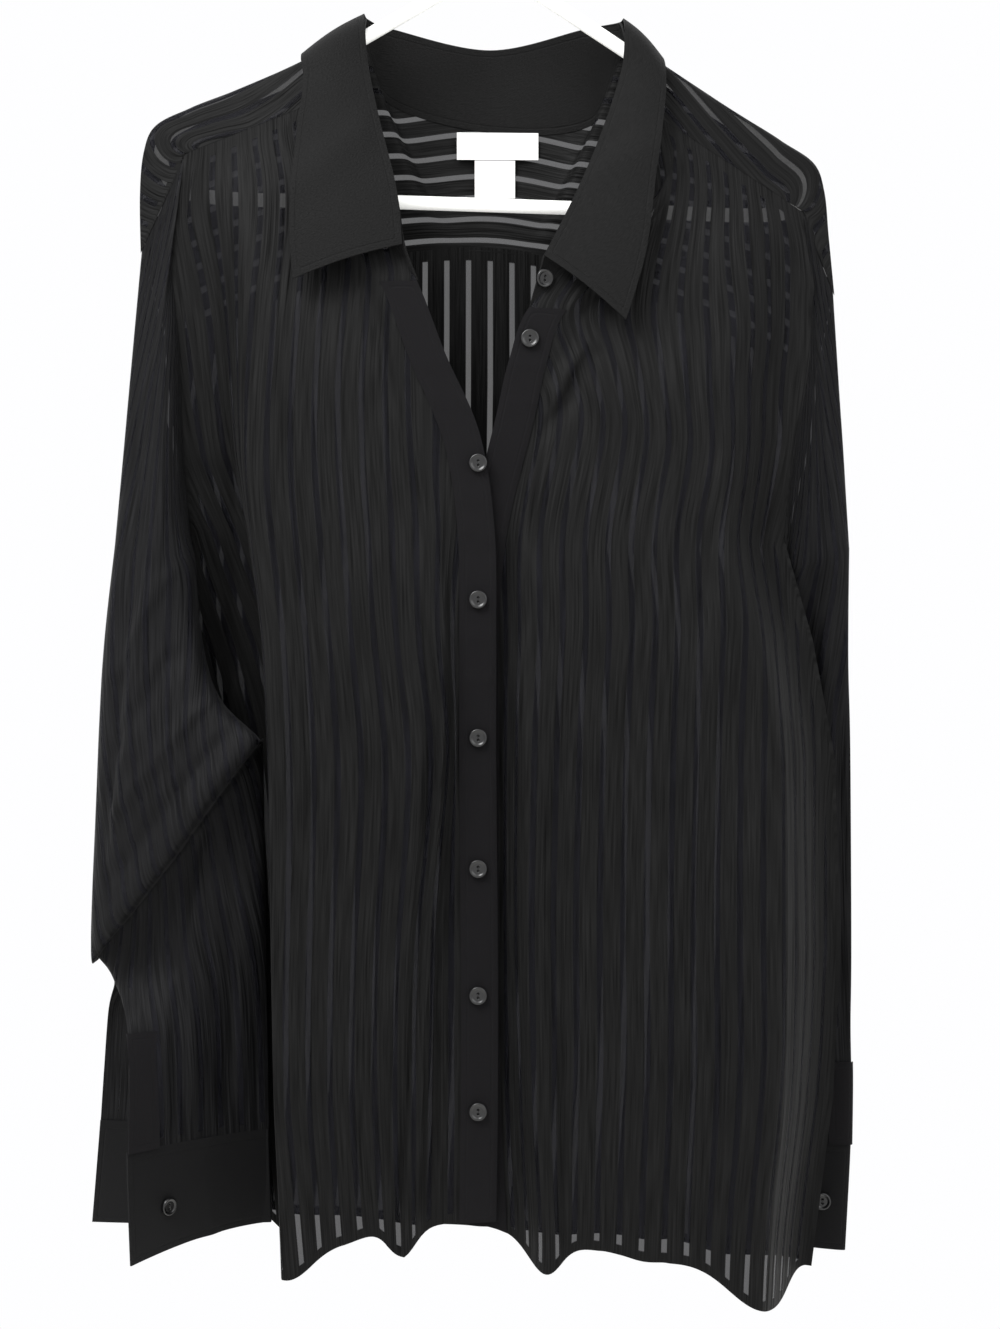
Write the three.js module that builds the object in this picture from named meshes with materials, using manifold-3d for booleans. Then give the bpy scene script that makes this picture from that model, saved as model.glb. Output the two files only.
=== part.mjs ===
// A sheer long-sleeved button-down shirt hanging on a white tube hanger.
// Millimetres, +Z up, the front faces -Y. The origin is where the hanger's hook rests on its rail.
// Left and right are the wearer's, so the right front is at -X.

import * as THREE from "three";
import { mergeVertices } from "three/addons/utils/BufferGeometryUtils.js";
import Module from "manifold-3d";

// Cloth and seams
const CLOTH = 1.2; // wall of a single layer of cloth
const BAND = 1.6; // wall of a lined band: collar, stand and cuffs
const SEAM = 0.5; // space between two sewn pieces
const LAID = CLOTH + 0.4; // from a panel's face to the face of what is laid on it
const PLACKET_WIDTH = 22.6;
const BUTTON_RADIUS = 5.7;
const BUTTON_THICK = 2.4;

// Hanger
const TUBE_RADIUS = 4.3;
const HOOK_RADIUS = 22;
const HOOK_CENTRE_Z = TUBE_RADIUS - HOOK_RADIUS;
const ON_TUBE = TUBE_RADIUS + CLOTH + 0.5; // from the tube's axis to the cloth's outer face

// The hanger's closed loop: down the wearer's right arm, along the bar and up the left arm.
const HANGER_LOOP = [
  { x: 0, z: -66 },
  { x: -30, z: -83.5 },
  { x: -67, z: -104.7 },
  { x: -117, z: -133 },
  { x: -160, z: -152 },
  { x: -190, z: -164 },
  { x: -203, z: -173 },
  { x: -206, z: -189 },
  { x: -197, z: -205 },
  { x: -181, z: -210.5 },
  { x: -60, z: -214.5 },
  { x: 60, z: -218.5 },
  { x: 174, z: -222.5 },
  { x: 189, z: -219.5 },
  { x: 198, z: -208 },
  { x: 196, z: -196 },
  { x: 186, z: -186 },
  { x: 150, z: -163 },
  { x: 73, z: -112 },
  { x: 30, z: -84 },
];

// The armhole below the yoke, down the front and down the back, and the side seam below it.
const ARMHOLE_FRONT_RIGHT = [
  { name: "yoke corner", x: -189, y: -8, z: -187.5 },
  { name: "high", x: -196, y: -9, z: -236 },
  { name: "middle", x: -196, y: -9, z: -292 },
  { name: "low", x: -190, y: -5, z: -378 },
  { name: "armpit", x: -187, y: 3, z: -421 },
];
const ARMHOLE_BACK_RIGHT = [
  { name: "yoke corner", x: -206, y: 14, z: -300 },
  { name: "blade", x: -203, y: 17, z: -345 },
  { name: "armpit", x: -187, y: 3, z: -421 },
];
const SIDE_RIGHT = [
  { name: "armpit", x: -187, y: 3, z: -421 },
  { name: "bust", x: -194, y: 20, z: -489 },
  { name: "waist", x: -201, y: 34, z: -564 },
  { name: "hip", x: -205, y: 40, z: -684 },
  { name: "thigh", x: -206, y: 42, z: -780 },
  { name: "hem", x: -207, y: 43, z: -852 },
];
const ARMHOLE_FRONT_LEFT = [
  { name: "yoke corner", x: 194, y: -8, z: -223.5 },
  { name: "high", x: 200, y: -9, z: -268 },
  { name: "middle", x: 197, y: -8, z: -318 },
  { name: "low", x: 186, y: -6, z: -385 },
  { name: "armpit", x: 184, y: 0, z: -431 },
];
const ARMHOLE_BACK_LEFT = [
  { name: "yoke corner", x: 206, y: 12, z: -325 },
  { name: "blade", x: 203, y: 15, z: -362 },
  { name: "armpit", x: 184, y: 0, z: -431 },
];
const SIDE_LEFT = [
  { name: "armpit", x: 184, y: 0, z: -431 },
  { name: "bust", x: 200, y: -3, z: -489 },
  { name: "waist", x: 214, y: -2, z: -563 },
  { name: "hip", x: 218, y: 0, z: -681 },
  { name: "thigh", x: 213, y: 0, z: -777 },
  { name: "hem", x: 199, y: -4, z: -880 },
];

// Sections of each front, from the shoulder seam to the hem, between its side and its front edge.
// turn: where the cloth turns back towards the side, over the width turnOver; frontY: the depth
// of the flat front; pleat: the crest of the fold beside the placket; edge: the front edge.
const FRONT_RIGHT = [
  { name: "shoulder", turn: -170, turnOver: 30, pleat: -125, frontY: -10, edge: [-98, -12, -151] },
  { name: "collar", turn: -165, turnOver: 40, pleat: -95, frontY: -22, edge: [-67, -30, -232] },
  { name: "neck", turn: -160, turnOver: 30, pleat: -74, frontY: -30, edge: [-45, -35, -269] },
  { name: "opening", turn: -157, turnOver: 22, pleat: -58, frontY: -36, edge: [-27, -38, -315] },
  { name: "first button", turn: -154, turnOver: 14, pleat: -42, frontY: -39, edge: [-6, -38, -364] },
  { name: "armpit", turn: -149, turnOver: 9, pleat: -30, frontY: -42, edge: [3, -38, -423] },
  { name: "bust", turn: -141, turnOver: 8, pleat: -26, frontY: -45, edge: [4, -38, -489] },
  { name: "waist", turn: -137, turnOver: 8, pleat: -24, frontY: -47, edge: [4, -38, -563] },
  { name: "hip", turn: -135, turnOver: 8, pleat: -40, frontY: -48, edge: [5, -38, -678] },
  { name: "thigh", turn: -133, turnOver: 8, pleat: -50, frontY: -48, edge: [5, -38, -770] },
  { name: "hem", turn: -129, turnOver: 8, pleat: -54, frontY: -46, edge: [4, -36, -844] },
];
const FRONT_LEFT = [
  { name: "shoulder", turn: 172, turnOver: 30, pleat: 121, frontY: -10, edge: [94, -12, -157] },
  { name: "collar", turn: 172, turnOver: 40, pleat: 95, frontY: -22, edge: [66, -30, -240] },
  { name: "neck", turn: 170, turnOver: 40, pleat: 52, frontY: -30, edge: [25, -35, -285] },
  { name: "opening", turn: 165, turnOver: 42, pleat: 42, frontY: -36, edge: [12, -36, -318] },
  { name: "first button", turn: 163, turnOver: 42, pleat: 34, frontY: -39, edge: [4, -34, -352] },
  { name: "armpit", turn: 162, turnOver: 42, pleat: 18, frontY: -42, edge: [-12, -31, -423] },
  { name: "bust", turn: 178, turnOver: 42, pleat: 15, frontY: -46, edge: [-17, -31, -489] },
  { name: "waist", turn: 192, turnOver: 42, pleat: 14, frontY: -46, edge: [-17, -31, -563] },
  { name: "hip", turn: 196, turnOver: 42, pleat: 15, frontY: -47, edge: [-17, -31, -678] },
  { name: "thigh", turn: 191, turnOver: 42, pleat: 22, frontY: -47, edge: [-16, -31, -770] },
  { name: "hem", turn: 178, turnOver: 40, pleat: 34, frontY: -46, edge: [-12, -31, -846] },
];
const ARMPIT_ROW = 5; // the row of the fronts' sections at the armpit
const NECK_ROW = 2; // the row where the front's neck edge ends and its opening starts

// Soft folds of the fronts: a ridge from its top end to its foot, that stands out from the
// cloth by out and falls off over reach; drop is how much lower the hem hangs at its foot.
const FOLDS_RIGHT = [
  { name: "beside the placket", topX: -29, topZ: -430, footX: -54, footZ: -860, out: 9, reach: 11, drop: 17 },
  { name: "along the crease", topX: -140, topZ: -440, footX: -116, footZ: -866, out: 5, reach: 20, drop: 20 },
  { name: "middle", topX: -96, topZ: -560, footX: -84, footZ: -860, out: 3, reach: 16, drop: 4 },
  { name: "below the collar", topX: -55, topZ: -290, footX: -14, footZ: -372, out: 4, reach: 9, drop: 0 },
  { name: "in the hollow", topX: -172, topZ: -440, footX: -176, footZ: -850, out: 5, reach: 10, drop: 0 },
];
const FOLDS_LEFT = [
  { name: "beside the placket", topX: 16, topZ: -400, footX: 34, footZ: -870, out: 8, reach: 12, drop: 20 },
  { name: "below the collar", topX: 60, topZ: -306, footX: 18, footZ: -372, out: 4, reach: 9, drop: 0 },
  { name: "from the bust", topX: 138, topZ: -441, footX: 104, footZ: -700, out: 6, reach: 15, drop: 0 },
  { name: "short middle", topX: 44, topZ: -480, footX: 37, footZ: -590, out: 3, reach: 9, drop: 0 },
  { name: "side", topX: 155, topZ: -560, footX: 168, footZ: -885, out: 12, reach: 22, drop: 12 },
  { name: "low middle", topX: 104, topZ: -690, footX: 92, footZ: -868, out: 3, reach: 14, drop: 2 },
];

// Sections of the back below the yoke. tuckX and tuckY are where the left side turns forward
// to clear the sleeve that hangs behind it; rise lifts the middle above the two ends.
const BACK = [
  { name: "yoke seam", rise: 75, backY: 38, tuckX: 150, tuckY: 18 },
  { name: "blades", rise: 30, backY: 44, tuckX: 150, tuckY: 20 },
  { name: "armpit", rise: 0, backY: 48, tuckX: 146, tuckY: 16 },
  { name: "bust", rise: 0, backY: 50, tuckX: 138, tuckY: 18 },
  { name: "waist", rise: 0, backY: 53, tuckX: 135, tuckY: 18 },
  { name: "hip", rise: 0, backY: 56, tuckX: 135, tuckY: 18 },
  { name: "thigh", rise: 0, backY: 57, tuckX: 137, tuckY: 18 },
  { name: "hem", rise: -6, backY: 57, tuckX: 140, tuckY: 18 },
];
const BACK_ARMPIT_ROW = 2;
const FOLDS_BACK = [
  { name: "right of the middle", topX: -34, topZ: -250, footX: -52, footZ: -866, out: 5, reach: 18, drop: 4 },
  { name: "left of the middle", topX: 30, topZ: -250, footX: 44, footZ: -868, out: 5, reach: 18, drop: 4 },
  { name: "right blade", topX: -110, topZ: -420, footX: -128, footZ: -862, out: 6, reach: 20, drop: 6 },
  { name: "left blade", topX: 92, topZ: -430, footX: 106, footZ: -870, out: 6, reach: 16, drop: 6 },
];

// The line where the yoke lies highest, from the shoulder point up over the hanger's arm to the
// neck. Where the tube reaches higher, the yoke lies on the tube.
const YOKE_RIDGE_RIGHT = [
  { name: "shoulder point", x: -218, z: -243 },
  { name: "beside the bar", x: -218.5, z: -207 },
  { name: "below the tip", x: -216.3, z: -182 },
  { name: "tip", x: -209, z: -166.5 },
  { name: "outer arm", x: -187, z: -155.5 },
  { name: "middle of the arm", x: -146, z: -139.5 },
  { name: "inner arm", x: -104, z: -119.5 },
];
const YOKE_RIDGE_LEFT = [
  { name: "shoulder point", x: 215, z: -269.5 },
  { name: "beside the bar", x: 211.5, z: -233 },
  { name: "below the tip", x: 209, z: -207 },
  { name: "tip", x: 202.5, z: -190 },
  { name: "outer arm", x: 182, z: -176 },
  { name: "middle of the arm", x: 144, z: -152 },
  { name: "inner arm", x: 104, z: -126 },
];

// Collar: the neck seam that the stand rises from, the line where the collar rolls over, and
// the collar's outer edge, at stations from the right front end to the left one.
const COLLAR = [
  { name: "right end", neck: [-45, -35, -269], roll: [-53, -42, -249], edge: [-119, -47, -271] },
  { name: "right leaf", neck: [-67, -30, -232], roll: [-57, -36, -213], edge: [-121.5, -43, -235] },
  { name: "right front", neck: [-86, -20, -184], roll: [-68, -25, -168], edge: [-119, -32, -186] },
  { name: "right neck point", neck: [-98, -12, -151], roll: [-75, -18, -134], edge: [-115, -24, -146] },
  { name: "before right arm", neck: [-89, -9, -113], roll: [-77.5, -14, -108], edge: [-117, -17, -129] },
  { name: "over right arm", neck: [-86, 0, -104.5], roll: [-79, 1, -96], edge: [-117, 2, -121] },
  { name: "behind right arm", neck: [-83, 9, -109.5], roll: [-77, 13, -96], edge: [-112, 18, -124] },
  { name: "right of the back", neck: [-66, 34, -142], roll: [-62, 30, -97], edge: [-86, 48, -136] },
  { name: "back", neck: [0, 43, -159], roll: [0, 45, -106], edge: [0, 62, -152] },
  { name: "left of the back", neck: [66, 34, -156], roll: [60, 30, -97], edge: [86, 48, -142] },
  { name: "behind left arm", neck: [88, 9, -117.5], roll: [81, 13, -98], edge: [104, 18, -127] },
  { name: "over left arm", neck: [91, 0, -112.5], roll: [84, 1, -99], edge: [108, 2, -123] },
  { name: "before left arm", neck: [92, -9, -120.5], roll: [83.5, -14, -111], edge: [109, -17, -136] },
  { name: "left neck point", neck: [94, -12, -157], roll: [81, -17, -138], edge: [108, -24, -158] },
  { name: "left front", neck: [84, -22, -200], roll: [66, -26, -184], edge: [102, -34, -202] },
  { name: "left leaf", neck: [66, -30, -240], roll: [49, -37, -224], edge: [95, -43, -253] },
  { name: "left end", neck: [25, -35, -285], roll: [33, -43, -256], edge: [82.5, -48, -296] },
];
const LAST_STATION = COLLAR.length - 1;
const RIGHT_NECK_POINT = 3; // rows of the collar's stations
const LEFT_NECK_POINT = 13;

// Sections of each sleeve below the armhole. out: the outer edge, in: the edge beside the body;
// bulge: how far the front and the back layer stand away from the line between the edges;
// taper: how gently that starts at the edges.
// Below the top of the slit the front layer ends at out and the back layer at back.
const SLEEVE_RIGHT = [
  { name: "underarm", out: [-233, -8, -430], in: [-191, -12, -440], bulge: [-20, 12], taper: 0.7 },
  { name: "elbow", out: [-240, -10, -500], in: [-184, -18, -489], bulge: [-22, 16], taper: 0.7 },
  { name: "flare", out: [-244, -12, -590], in: [-166, -26, -525], bulge: [-24, 20], taper: 0.7 },
  { name: "lip of the fold", out: [-247, -14, -682], in: [-141, -38, -549], bulge: [-18, 26], taper: 0.7 },
  { name: "under the fold", out: [-244, -4, -688], in: [-141, -12, -560], bulge: [-12, 16], taper: 0.7 },
  { name: "top of the slit", out: [-236, 2, -702], in: [-140, -8, -650], bulge: [-14, 14], taper: 0.7 },
];
const SLIT_RIGHT = [
  {
    name: "slit", out: [-221, -34, -730], back: [-246, 34, -730], in: [-140, 2, -725],
    bulge: [-4, 6], taper: 1.2,
  },
  {
    name: "cuff seam", out: [-219, -46, -801], back: [-253, 47, -801], in: [-140, 12, -799],
    bulge: [6, 2], taper: 2,
  },
  {
    name: "edge", out: [-216, -49, -867], back: [-259, 52, -867], in: [-139, 18, -858],
    bulge: [18, -4], taper: 2,
  },
];
const SLEEVE_LEFT = [
  { name: "underarm", out: [226, 6, -432], in: [187, 14, -446], bulge: [-12, 14], taper: 0.7 },
  { name: "elbow", out: [228, 20, -500], in: [168, 36, -500], bulge: [-6, 14], taper: 0.7 },
  { name: "forearm", out: [230.5, 27, -560], in: [152, 41, -560], bulge: [-5, 13], taper: 0.7 },
  { name: "middle", out: [231.5, 29, -685], in: [154, 42, -685], bulge: [-5, 12], taper: 0.7 },
  { name: "top of the slit", out: [231, 29, -735], in: [157, 42, -735], bulge: [-5, 12], taper: 0.7 },
];
const SLIT_LEFT = [
  {
    name: "slit", out: [231, 26, -770], back: [230, 32, -770], in: [158, 42, -770],
    bulge: [-5, 11], taper: 0.7,
  },
  {
    name: "cuff seam", out: [230.5, 26, -811], back: [228, 34, -811], in: [162, 42, -811],
    bulge: [-5, 9], taper: 0.7,
  },
  {
    name: "cuff edge", out: [227, 26, -878], back: [222, 36, -878], in: [160, 42, -874],
    bulge: [-5, 8], taper: 0.7,
  },
];

// The buttons of the closed front, of the open one above it, and of the cuffs
const PLACKET_BUTTONS = { x: -7, heights: [-382, -465, -549, -628.5, -705.5, -776] };
const OPEN_BUTTON = { x: 24.5, z: -306 };
const STAND_BUTTON = { across: 0.987, up: 0.4 }; // shares of the collar stand's length and height
const CUFF_BUTTON = { t: 1.5, round: 0.164 }; // half way down the cuff, near its open front end

// The two labels inside the yoke, below the neck seam
const LABEL_MAIN = { left: -21.5, right: 31, top: -161.5, bottom: -179 };
const LABEL_SIZE = { left: -10, right: 16, top: -179.5, bottom: -204 };
const LABEL_THICK = 1;

const wasm = await Module();
wasm.setup();

const lerp = (a, b, t) => a + (b - a) * t;
const clamp01 = (t) => Math.min(1, Math.max(0, t));
const smooth = (t) => clamp01(t) ** 2 * (3 - 2 * clamp01(t));

// The value a share f of the way from b to c on a smooth curve through a, b, c and d.
function between(a, b, c, d, f) {
  const startSlope = (c - a) / 2;
  const endSlope = (d - b) / 2;
  const rise = c - b;
  const bend = 3 * rise - 2 * startSlope - endSlope;
  const twist = startSlope + endSlope - 2 * rise;
  return b + f * (startSlope + f * (bend + f * twist));
}

// A table's row at t, counted in rows: each number or point on a smooth curve through its rows.
function rowAt(table, t) {
  const i = Math.min(Math.floor(t), table.length - 2);
  const four = [i - 1, i, i + 1, i + 2].map((k) => table[Math.min(Math.max(k, 0), table.length - 1)]);
  const row = {};
  for (const [key, value] of Object.entries(table[i])) {
    const ofRows = (pick) => between(...four.map((entry) => pick(entry[key])), t - i);
    if (typeof value === "number") row[key] = ofRows((number) => number);
    if (Array.isArray(value)) row[key] = value.map((_, axis) => ofRows((point) => point[axis]));
  }
  return row;
}

// A point along a seam's rows, in straight stretches, with t from 0 to 1.
function alongSeam(seam, t) {
  const i = Math.min(Math.floor(t * (seam.length - 1)), seam.length - 2);
  const f = t * (seam.length - 1) - i;
  const from = seam[i];
  const to = seam[i + 1];
  return new THREE.Vector3(lerp(from.x, to.x, f), lerp(from.y, to.y, f), lerp(from.z, to.z, f));
}

// The side of a front or back at section t: down its armhole to the armpit, then its side seam.
function sideAt(armhole, seam, t, armpitRow, lastRow) {
  if (t <= armpitRow) return alongSeam(armhole, t / armpitRow);
  return alongSeam(seam, (t - armpitRow) / (lastRow - armpitRow));
}

// A closed wall over a grid of outer points: points(i, j) for i rows down and j columns across.
// side is 1 where the direction across, crossed with down, points into the wall, and -1 where
// it points out of it. The first and last column are one line down to the row joined, and free
// edges below it. inwardAt gives the direction into the wall where the grid's own isn't clear.
function wallGeometry(points, rows, columns, thick, side, joined = -1, inwardAt = () => null) {
  const outer = [];
  for (let i = 0; i <= rows; i++) {
    for (let j = 0; j <= columns; j++) outer.push(points(i, i <= joined && j === columns ? 0 : j));
  }
  const at = (i, j) => i * (columns + 1) + j;
  const inner = outer.map((point, k) => {
    const i = Math.floor(k / (columns + 1));
    const onJoin = i <= joined && (k % (columns + 1)) % columns === 0;
    const j = onJoin ? 0 : k % (columns + 1);
    const before = onJoin ? at(i, columns - 1) : at(i, Math.max(j - 1, 0));
    const after = onJoin ? at(i, 1) : at(i, Math.min(j + 1, columns));
    const down = outer[at(Math.min(i + 1, rows), j)].clone().sub(outer[at(Math.max(i - 1, 0), j)]);
    const across = outer[after].clone().sub(outer[before]);
    const inwards = inwardAt(i, j) ?? across.cross(down).normalize().multiplyScalar(side);
    return point.clone().addScaledVector(inwards, thick);
  });
  const all = [...outer, ...inner];
  const count = outer.length;
  const faces = [];
  const quad = (a, b, c, d) => faces.push(a, b, c, a, c, d);
  const flip = (a, b, c, d) => (side > 0 ? quad(d, c, b, a) : quad(a, b, c, d));
  for (let i = 0; i < rows; i++) {
    for (let j = 0; j < columns; j++) {
      flip(at(i, j + 1), at(i + 1, j + 1), at(i + 1, j), at(i, j));
      flip(count + at(i + 1, j), count + at(i + 1, j + 1), count + at(i, j + 1), count + at(i, j));
    }
  }
  for (let j = 0; j < columns; j++) {
    flip(at(0, j + 1), at(0, j), count + at(0, j), count + at(0, j + 1));
    flip(at(rows, j), at(rows, j + 1), count + at(rows, j + 1), count + at(rows, j));
  }
  for (let i = Math.max(joined, 0); i < rows; i++) {
    flip(at(i, 0), at(i + 1, 0), count + at(i + 1, 0), count + at(i, 0));
    flip(at(i + 1, columns), at(i, columns), count + at(i, columns), count + at(i + 1, columns));
  }
  const flat = faces.flatMap((k) => all[k].toArray());
  return new THREE.BufferGeometry().setAttribute("position", new THREE.Float32BufferAttribute(flat, 3));
}

const sheer = new THREE.MeshStandardMaterial({ color: 0x1e1e20, roughness: 0.7, metalness: 0 });
const opaque = new THREE.MeshStandardMaterial({ color: 0x161617, roughness: 0.85, metalness: 0 });
const plastic = new THREE.MeshStandardMaterial({ color: 0x1a1a1b, roughness: 0.3, metalness: 0 });
const whitePlastic = new THREE.MeshStandardMaterial({ color: 0xf4f4f2, roughness: 0.4, metalness: 0 });
const satin = new THREE.MeshStandardMaterial({ color: 0xf2f2f0, roughness: 0.6, metalness: 0 });

const shirt = new THREE.Group();

function addPiece(name, geometry, material) {
  const mesh = new THREE.Mesh(geometry, material);
  mesh.name = name;
  shirt.add(mesh);
  return mesh;
}

// How far the folds stand out at a point, and how much lower they let the hem hang.
function foldAt(folds, x, z) {
  let out = 0;
  let drop = 0;
  for (const fold of folds) {
    const along = (fold.topZ - z) / (fold.topZ - fold.footZ);
    const crest = lerp(fold.topX, fold.footX, clamp01(along));
    const beside = Math.exp(-(((x - crest) / fold.reach) ** 2));
    const fadesIn = smooth(along * 2.5 + 0.2);
    const fadesOut = fold.drop > 0 ? 1 : smooth((1.15 - along) * 4);
    out += fold.out * beside * fadesIn * fadesOut;
    drop += fold.drop * beside * smooth((along - 0.8) / 0.2);
  }
  return { out, drop };
}

// The neck seam at a station of the collar.
const neckSeam = (station) => new THREE.Vector3(...rowAt(COLLAR, station).neck);

const right = {
  sections: FRONT_RIGHT,
  folds: FOLDS_RIGHT,
  armhole: ARMHOLE_FRONT_RIGHT,
  side: SIDE_RIGHT,
  neckStation: (t) => RIGHT_NECK_POINT * (1 - t / NECK_ROW),
  inwards: 1,
};
const left = {
  sections: FRONT_LEFT,
  folds: FOLDS_LEFT,
  armhole: ARMHOLE_FRONT_LEFT,
  side: SIDE_LEFT,
  neckStation: (t) => lerp(LEFT_NECK_POINT, LAST_STATION, t / NECK_ROW),
  inwards: -1,
};

// A front's section at t, with its side and front edge as points.
function frontSection(front, t) {
  const row = rowAt(front.sections, t);
  const side = sideAt(front.armhole, front.side, t, ARMPIT_ROW, front.sections.length - 1);
  const edge = t <= NECK_ROW ? neckSeam(front.neckStation(t)) : new THREE.Vector3(...row.edge);
  return { ...row, side, edge };
}

// A point of a front at section t and at x. The depth goes from the side's to the flat front's
// over the turn, stays level under the placket, and the folds stand out between them.
const RAMP = 8; // how far past the pleat's crest the cloth is level with the front edge
function frontPoint(front, t, x) {
  const { side, edge, turn, turnOver, pleat, frontY } = frontSection(front, t);
  const across = clamp01((x - side.x) / (edge.x - side.x));
  const turned = smooth(((x - turn) * front.inwards) / turnOver + 0.5);
  const pastPlacket = (edge.x - x) * front.inwards - PLACKET_WIDTH;
  const nearEdge = smooth(1 - pastPlacket / (Math.abs(edge.x - pleat) + RAMP - PLACKET_WIDTH));
  const level = lerp(side.z, edge.z, across);
  const fold = foldAt(front.folds, x, level);
  const fromSide = smooth(across * 6);
  const below = smooth(t);
  const depth = lerp(lerp(side.y, frontY, turned), edge.y, nearEdge);
  const alongTop = lerp(side.y, edge.y, across);
  const y = lerp(alongTop, depth, below) - fold.out * fromSide * (1 - nearEdge) * below;
  return new THREE.Vector3(x, y, level - fold.drop * fromSide - SEAM * (1 - below));
}

// The x of a front's column: evenly spaced from the side to the turn, over it, to the pleat's
// crest, to the placket and on to the edge. Each number is the column where a stretch ends.
const FRONT_COLUMNS = { turn: 4, over: 8, pleat: 15, placket: 18, edge: 22 };
const LEAST_STRETCH = 4; // the turn starts at least this far from the side
function frontColumnX(front, t, column) {
  const row = frontSection(front, t);
  const { side, edge } = row;
  const half = (row.turnOver / 2) * front.inwards;
  const room = (row.turn - half - side.x) * front.inwards;
  const stops = [
    [0, side.x],
    [FRONT_COLUMNS.turn, room > LEAST_STRETCH ? row.turn - half : side.x + LEAST_STRETCH * front.inwards],
    [FRONT_COLUMNS.over, row.turn + half],
    [FRONT_COLUMNS.pleat, row.pleat],
    [FRONT_COLUMNS.placket, edge.x - PLACKET_WIDTH * front.inwards],
    [FRONT_COLUMNS.edge, edge.x],
  ];
  const next = Math.max(1, stops.findIndex(([stop]) => column <= stop));
  const [from, fromX] = stops[next - 1];
  const [to, toX] = stops[next];
  return lerp(fromX, toX, (column - from) / (to - from));
}

// The section of a grid's row: evenly down to the armpit, then evenly to the hem.
function sectionOfRow(i, rowsAbove, rowsBelow, armpitRow, lastRow) {
  if (i <= rowsAbove) return (i / rowsAbove) * armpitRow;
  return armpitRow + ((i - rowsAbove) / rowsBelow) * (lastRow - armpitRow);
}

const ROWS_BELOW_ARMPIT = 9;
const FRONT_ROWS_ABOVE = 10;
const FRONT_ROWS = FRONT_ROWS_ABOVE + ROWS_BELOW_ARMPIT;
const HEM_SECTION = FRONT_RIGHT.length - 1;
const frontSectionOf = (i) => sectionOfRow(i, FRONT_ROWS_ABOVE, ROWS_BELOW_ARMPIT, ARMPIT_ROW, HEM_SECTION);
function frontGridPoint(front, i, j) {
  const t = frontSectionOf(i);
  return frontPoint(front, t, frontColumnX(front, t, j));
}
function frontPiece(name, front) {
  const points = (i, j) => frontGridPoint(front, i, j);
  addPiece(name, wallGeometry(points, FRONT_ROWS, FRONT_COLUMNS.edge, CLOTH, front.inwards), sheer);
}
frontPiece("front_right", right);
frontPiece("front_left", left);

// A placket is a band along a front's edge, laid over the panel from the neck's end to the hem.
const FIRST_PLACKET_ROW = 4; // the fronts' grid row where the neck edge ends
function placketPiece(name, front) {
  const columns = FRONT_COLUMNS.edge - FRONT_COLUMNS.placket;
  const points = (i, j) => {
    const point = frontGridPoint(front, i + FIRST_PLACKET_ROW, j + FRONT_COLUMNS.placket);
    point.y -= LAID;
    return point;
  };
  const rows = FRONT_ROWS - FIRST_PLACKET_ROW;
  addPiece(name, wallGeometry(points, rows, columns, CLOTH, front.inwards), sheer);
}
placketPiece("placket_buttonholes", right);
placketPiece("placket_buttons", left);

// A point of the back at section t and at across, from 0 at the right side to 1 at the left.
// Its edges start just behind the fronts' edges and turn away from them.
const BACK_TURN = 22; // the width over which the back turns away from its side seams
const TUCK_OVER = 40;
const BEHIND_SEAM = CLOTH + SEAM;
function backPoint(t, across) {
  const row = rowAt(BACK, t);
  const lastRow = BACK.length - 1;
  const rightSide = sideAt(ARMHOLE_BACK_RIGHT, SIDE_RIGHT, t, BACK_ARMPIT_ROW, lastRow);
  const leftSide = sideAt(ARMHOLE_BACK_LEFT, SIDE_LEFT, t, BACK_ARMPIT_ROW, lastRow);
  const x = lerp(rightSide.x, leftSide.x, across);
  const middle = 1 - (2 * across - 1) ** 2;
  const tucked = smooth((x - row.tuckX) / TUCK_OVER + 0.7);
  const fullDepth = lerp(row.backY, row.tuckY, tucked);
  const [seam, distance] = across < 0.5 ? [rightSide, x - rightSide.x] : [leftSide, leftSide.x - x];
  const turned = Math.sqrt(1 - (1 - clamp01(distance / BACK_TURN)) ** 2);
  const z = lerp(rightSide.z, leftSide.z, across) + row.rise * middle;
  const fold = foldAt(FOLDS_BACK, x, z);
  const y = lerp(seam.y + BEHIND_SEAM, fullDepth, turned) + fold.out * middle * smooth(t);
  return new THREE.Vector3(x, y, z - fold.drop * middle - SEAM * (1 - smooth(t)));
}

// Columns are closer together at the sides, where the cloth turns.
const closerAtEnds = (share) => 0.5 - 0.5 * Math.cos(Math.PI * share);

const BACK_ROWS_ABOVE = 3;
const BACK_COLUMNS = 24;
const backGrid = (i, j) => {
  const t = sectionOfRow(i, BACK_ROWS_ABOVE, ROWS_BELOW_ARMPIT, BACK_ARMPIT_ROW, BACK.length - 1);
  return backPoint(t, closerAtEnds(j / BACK_COLUMNS));
};
const backRows = BACK_ROWS_ABOVE + ROWS_BELOW_ARMPIT;
addPiece("back", wallGeometry(backGrid, backRows, BACK_COLUMNS, CLOTH, -1), sheer);

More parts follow.
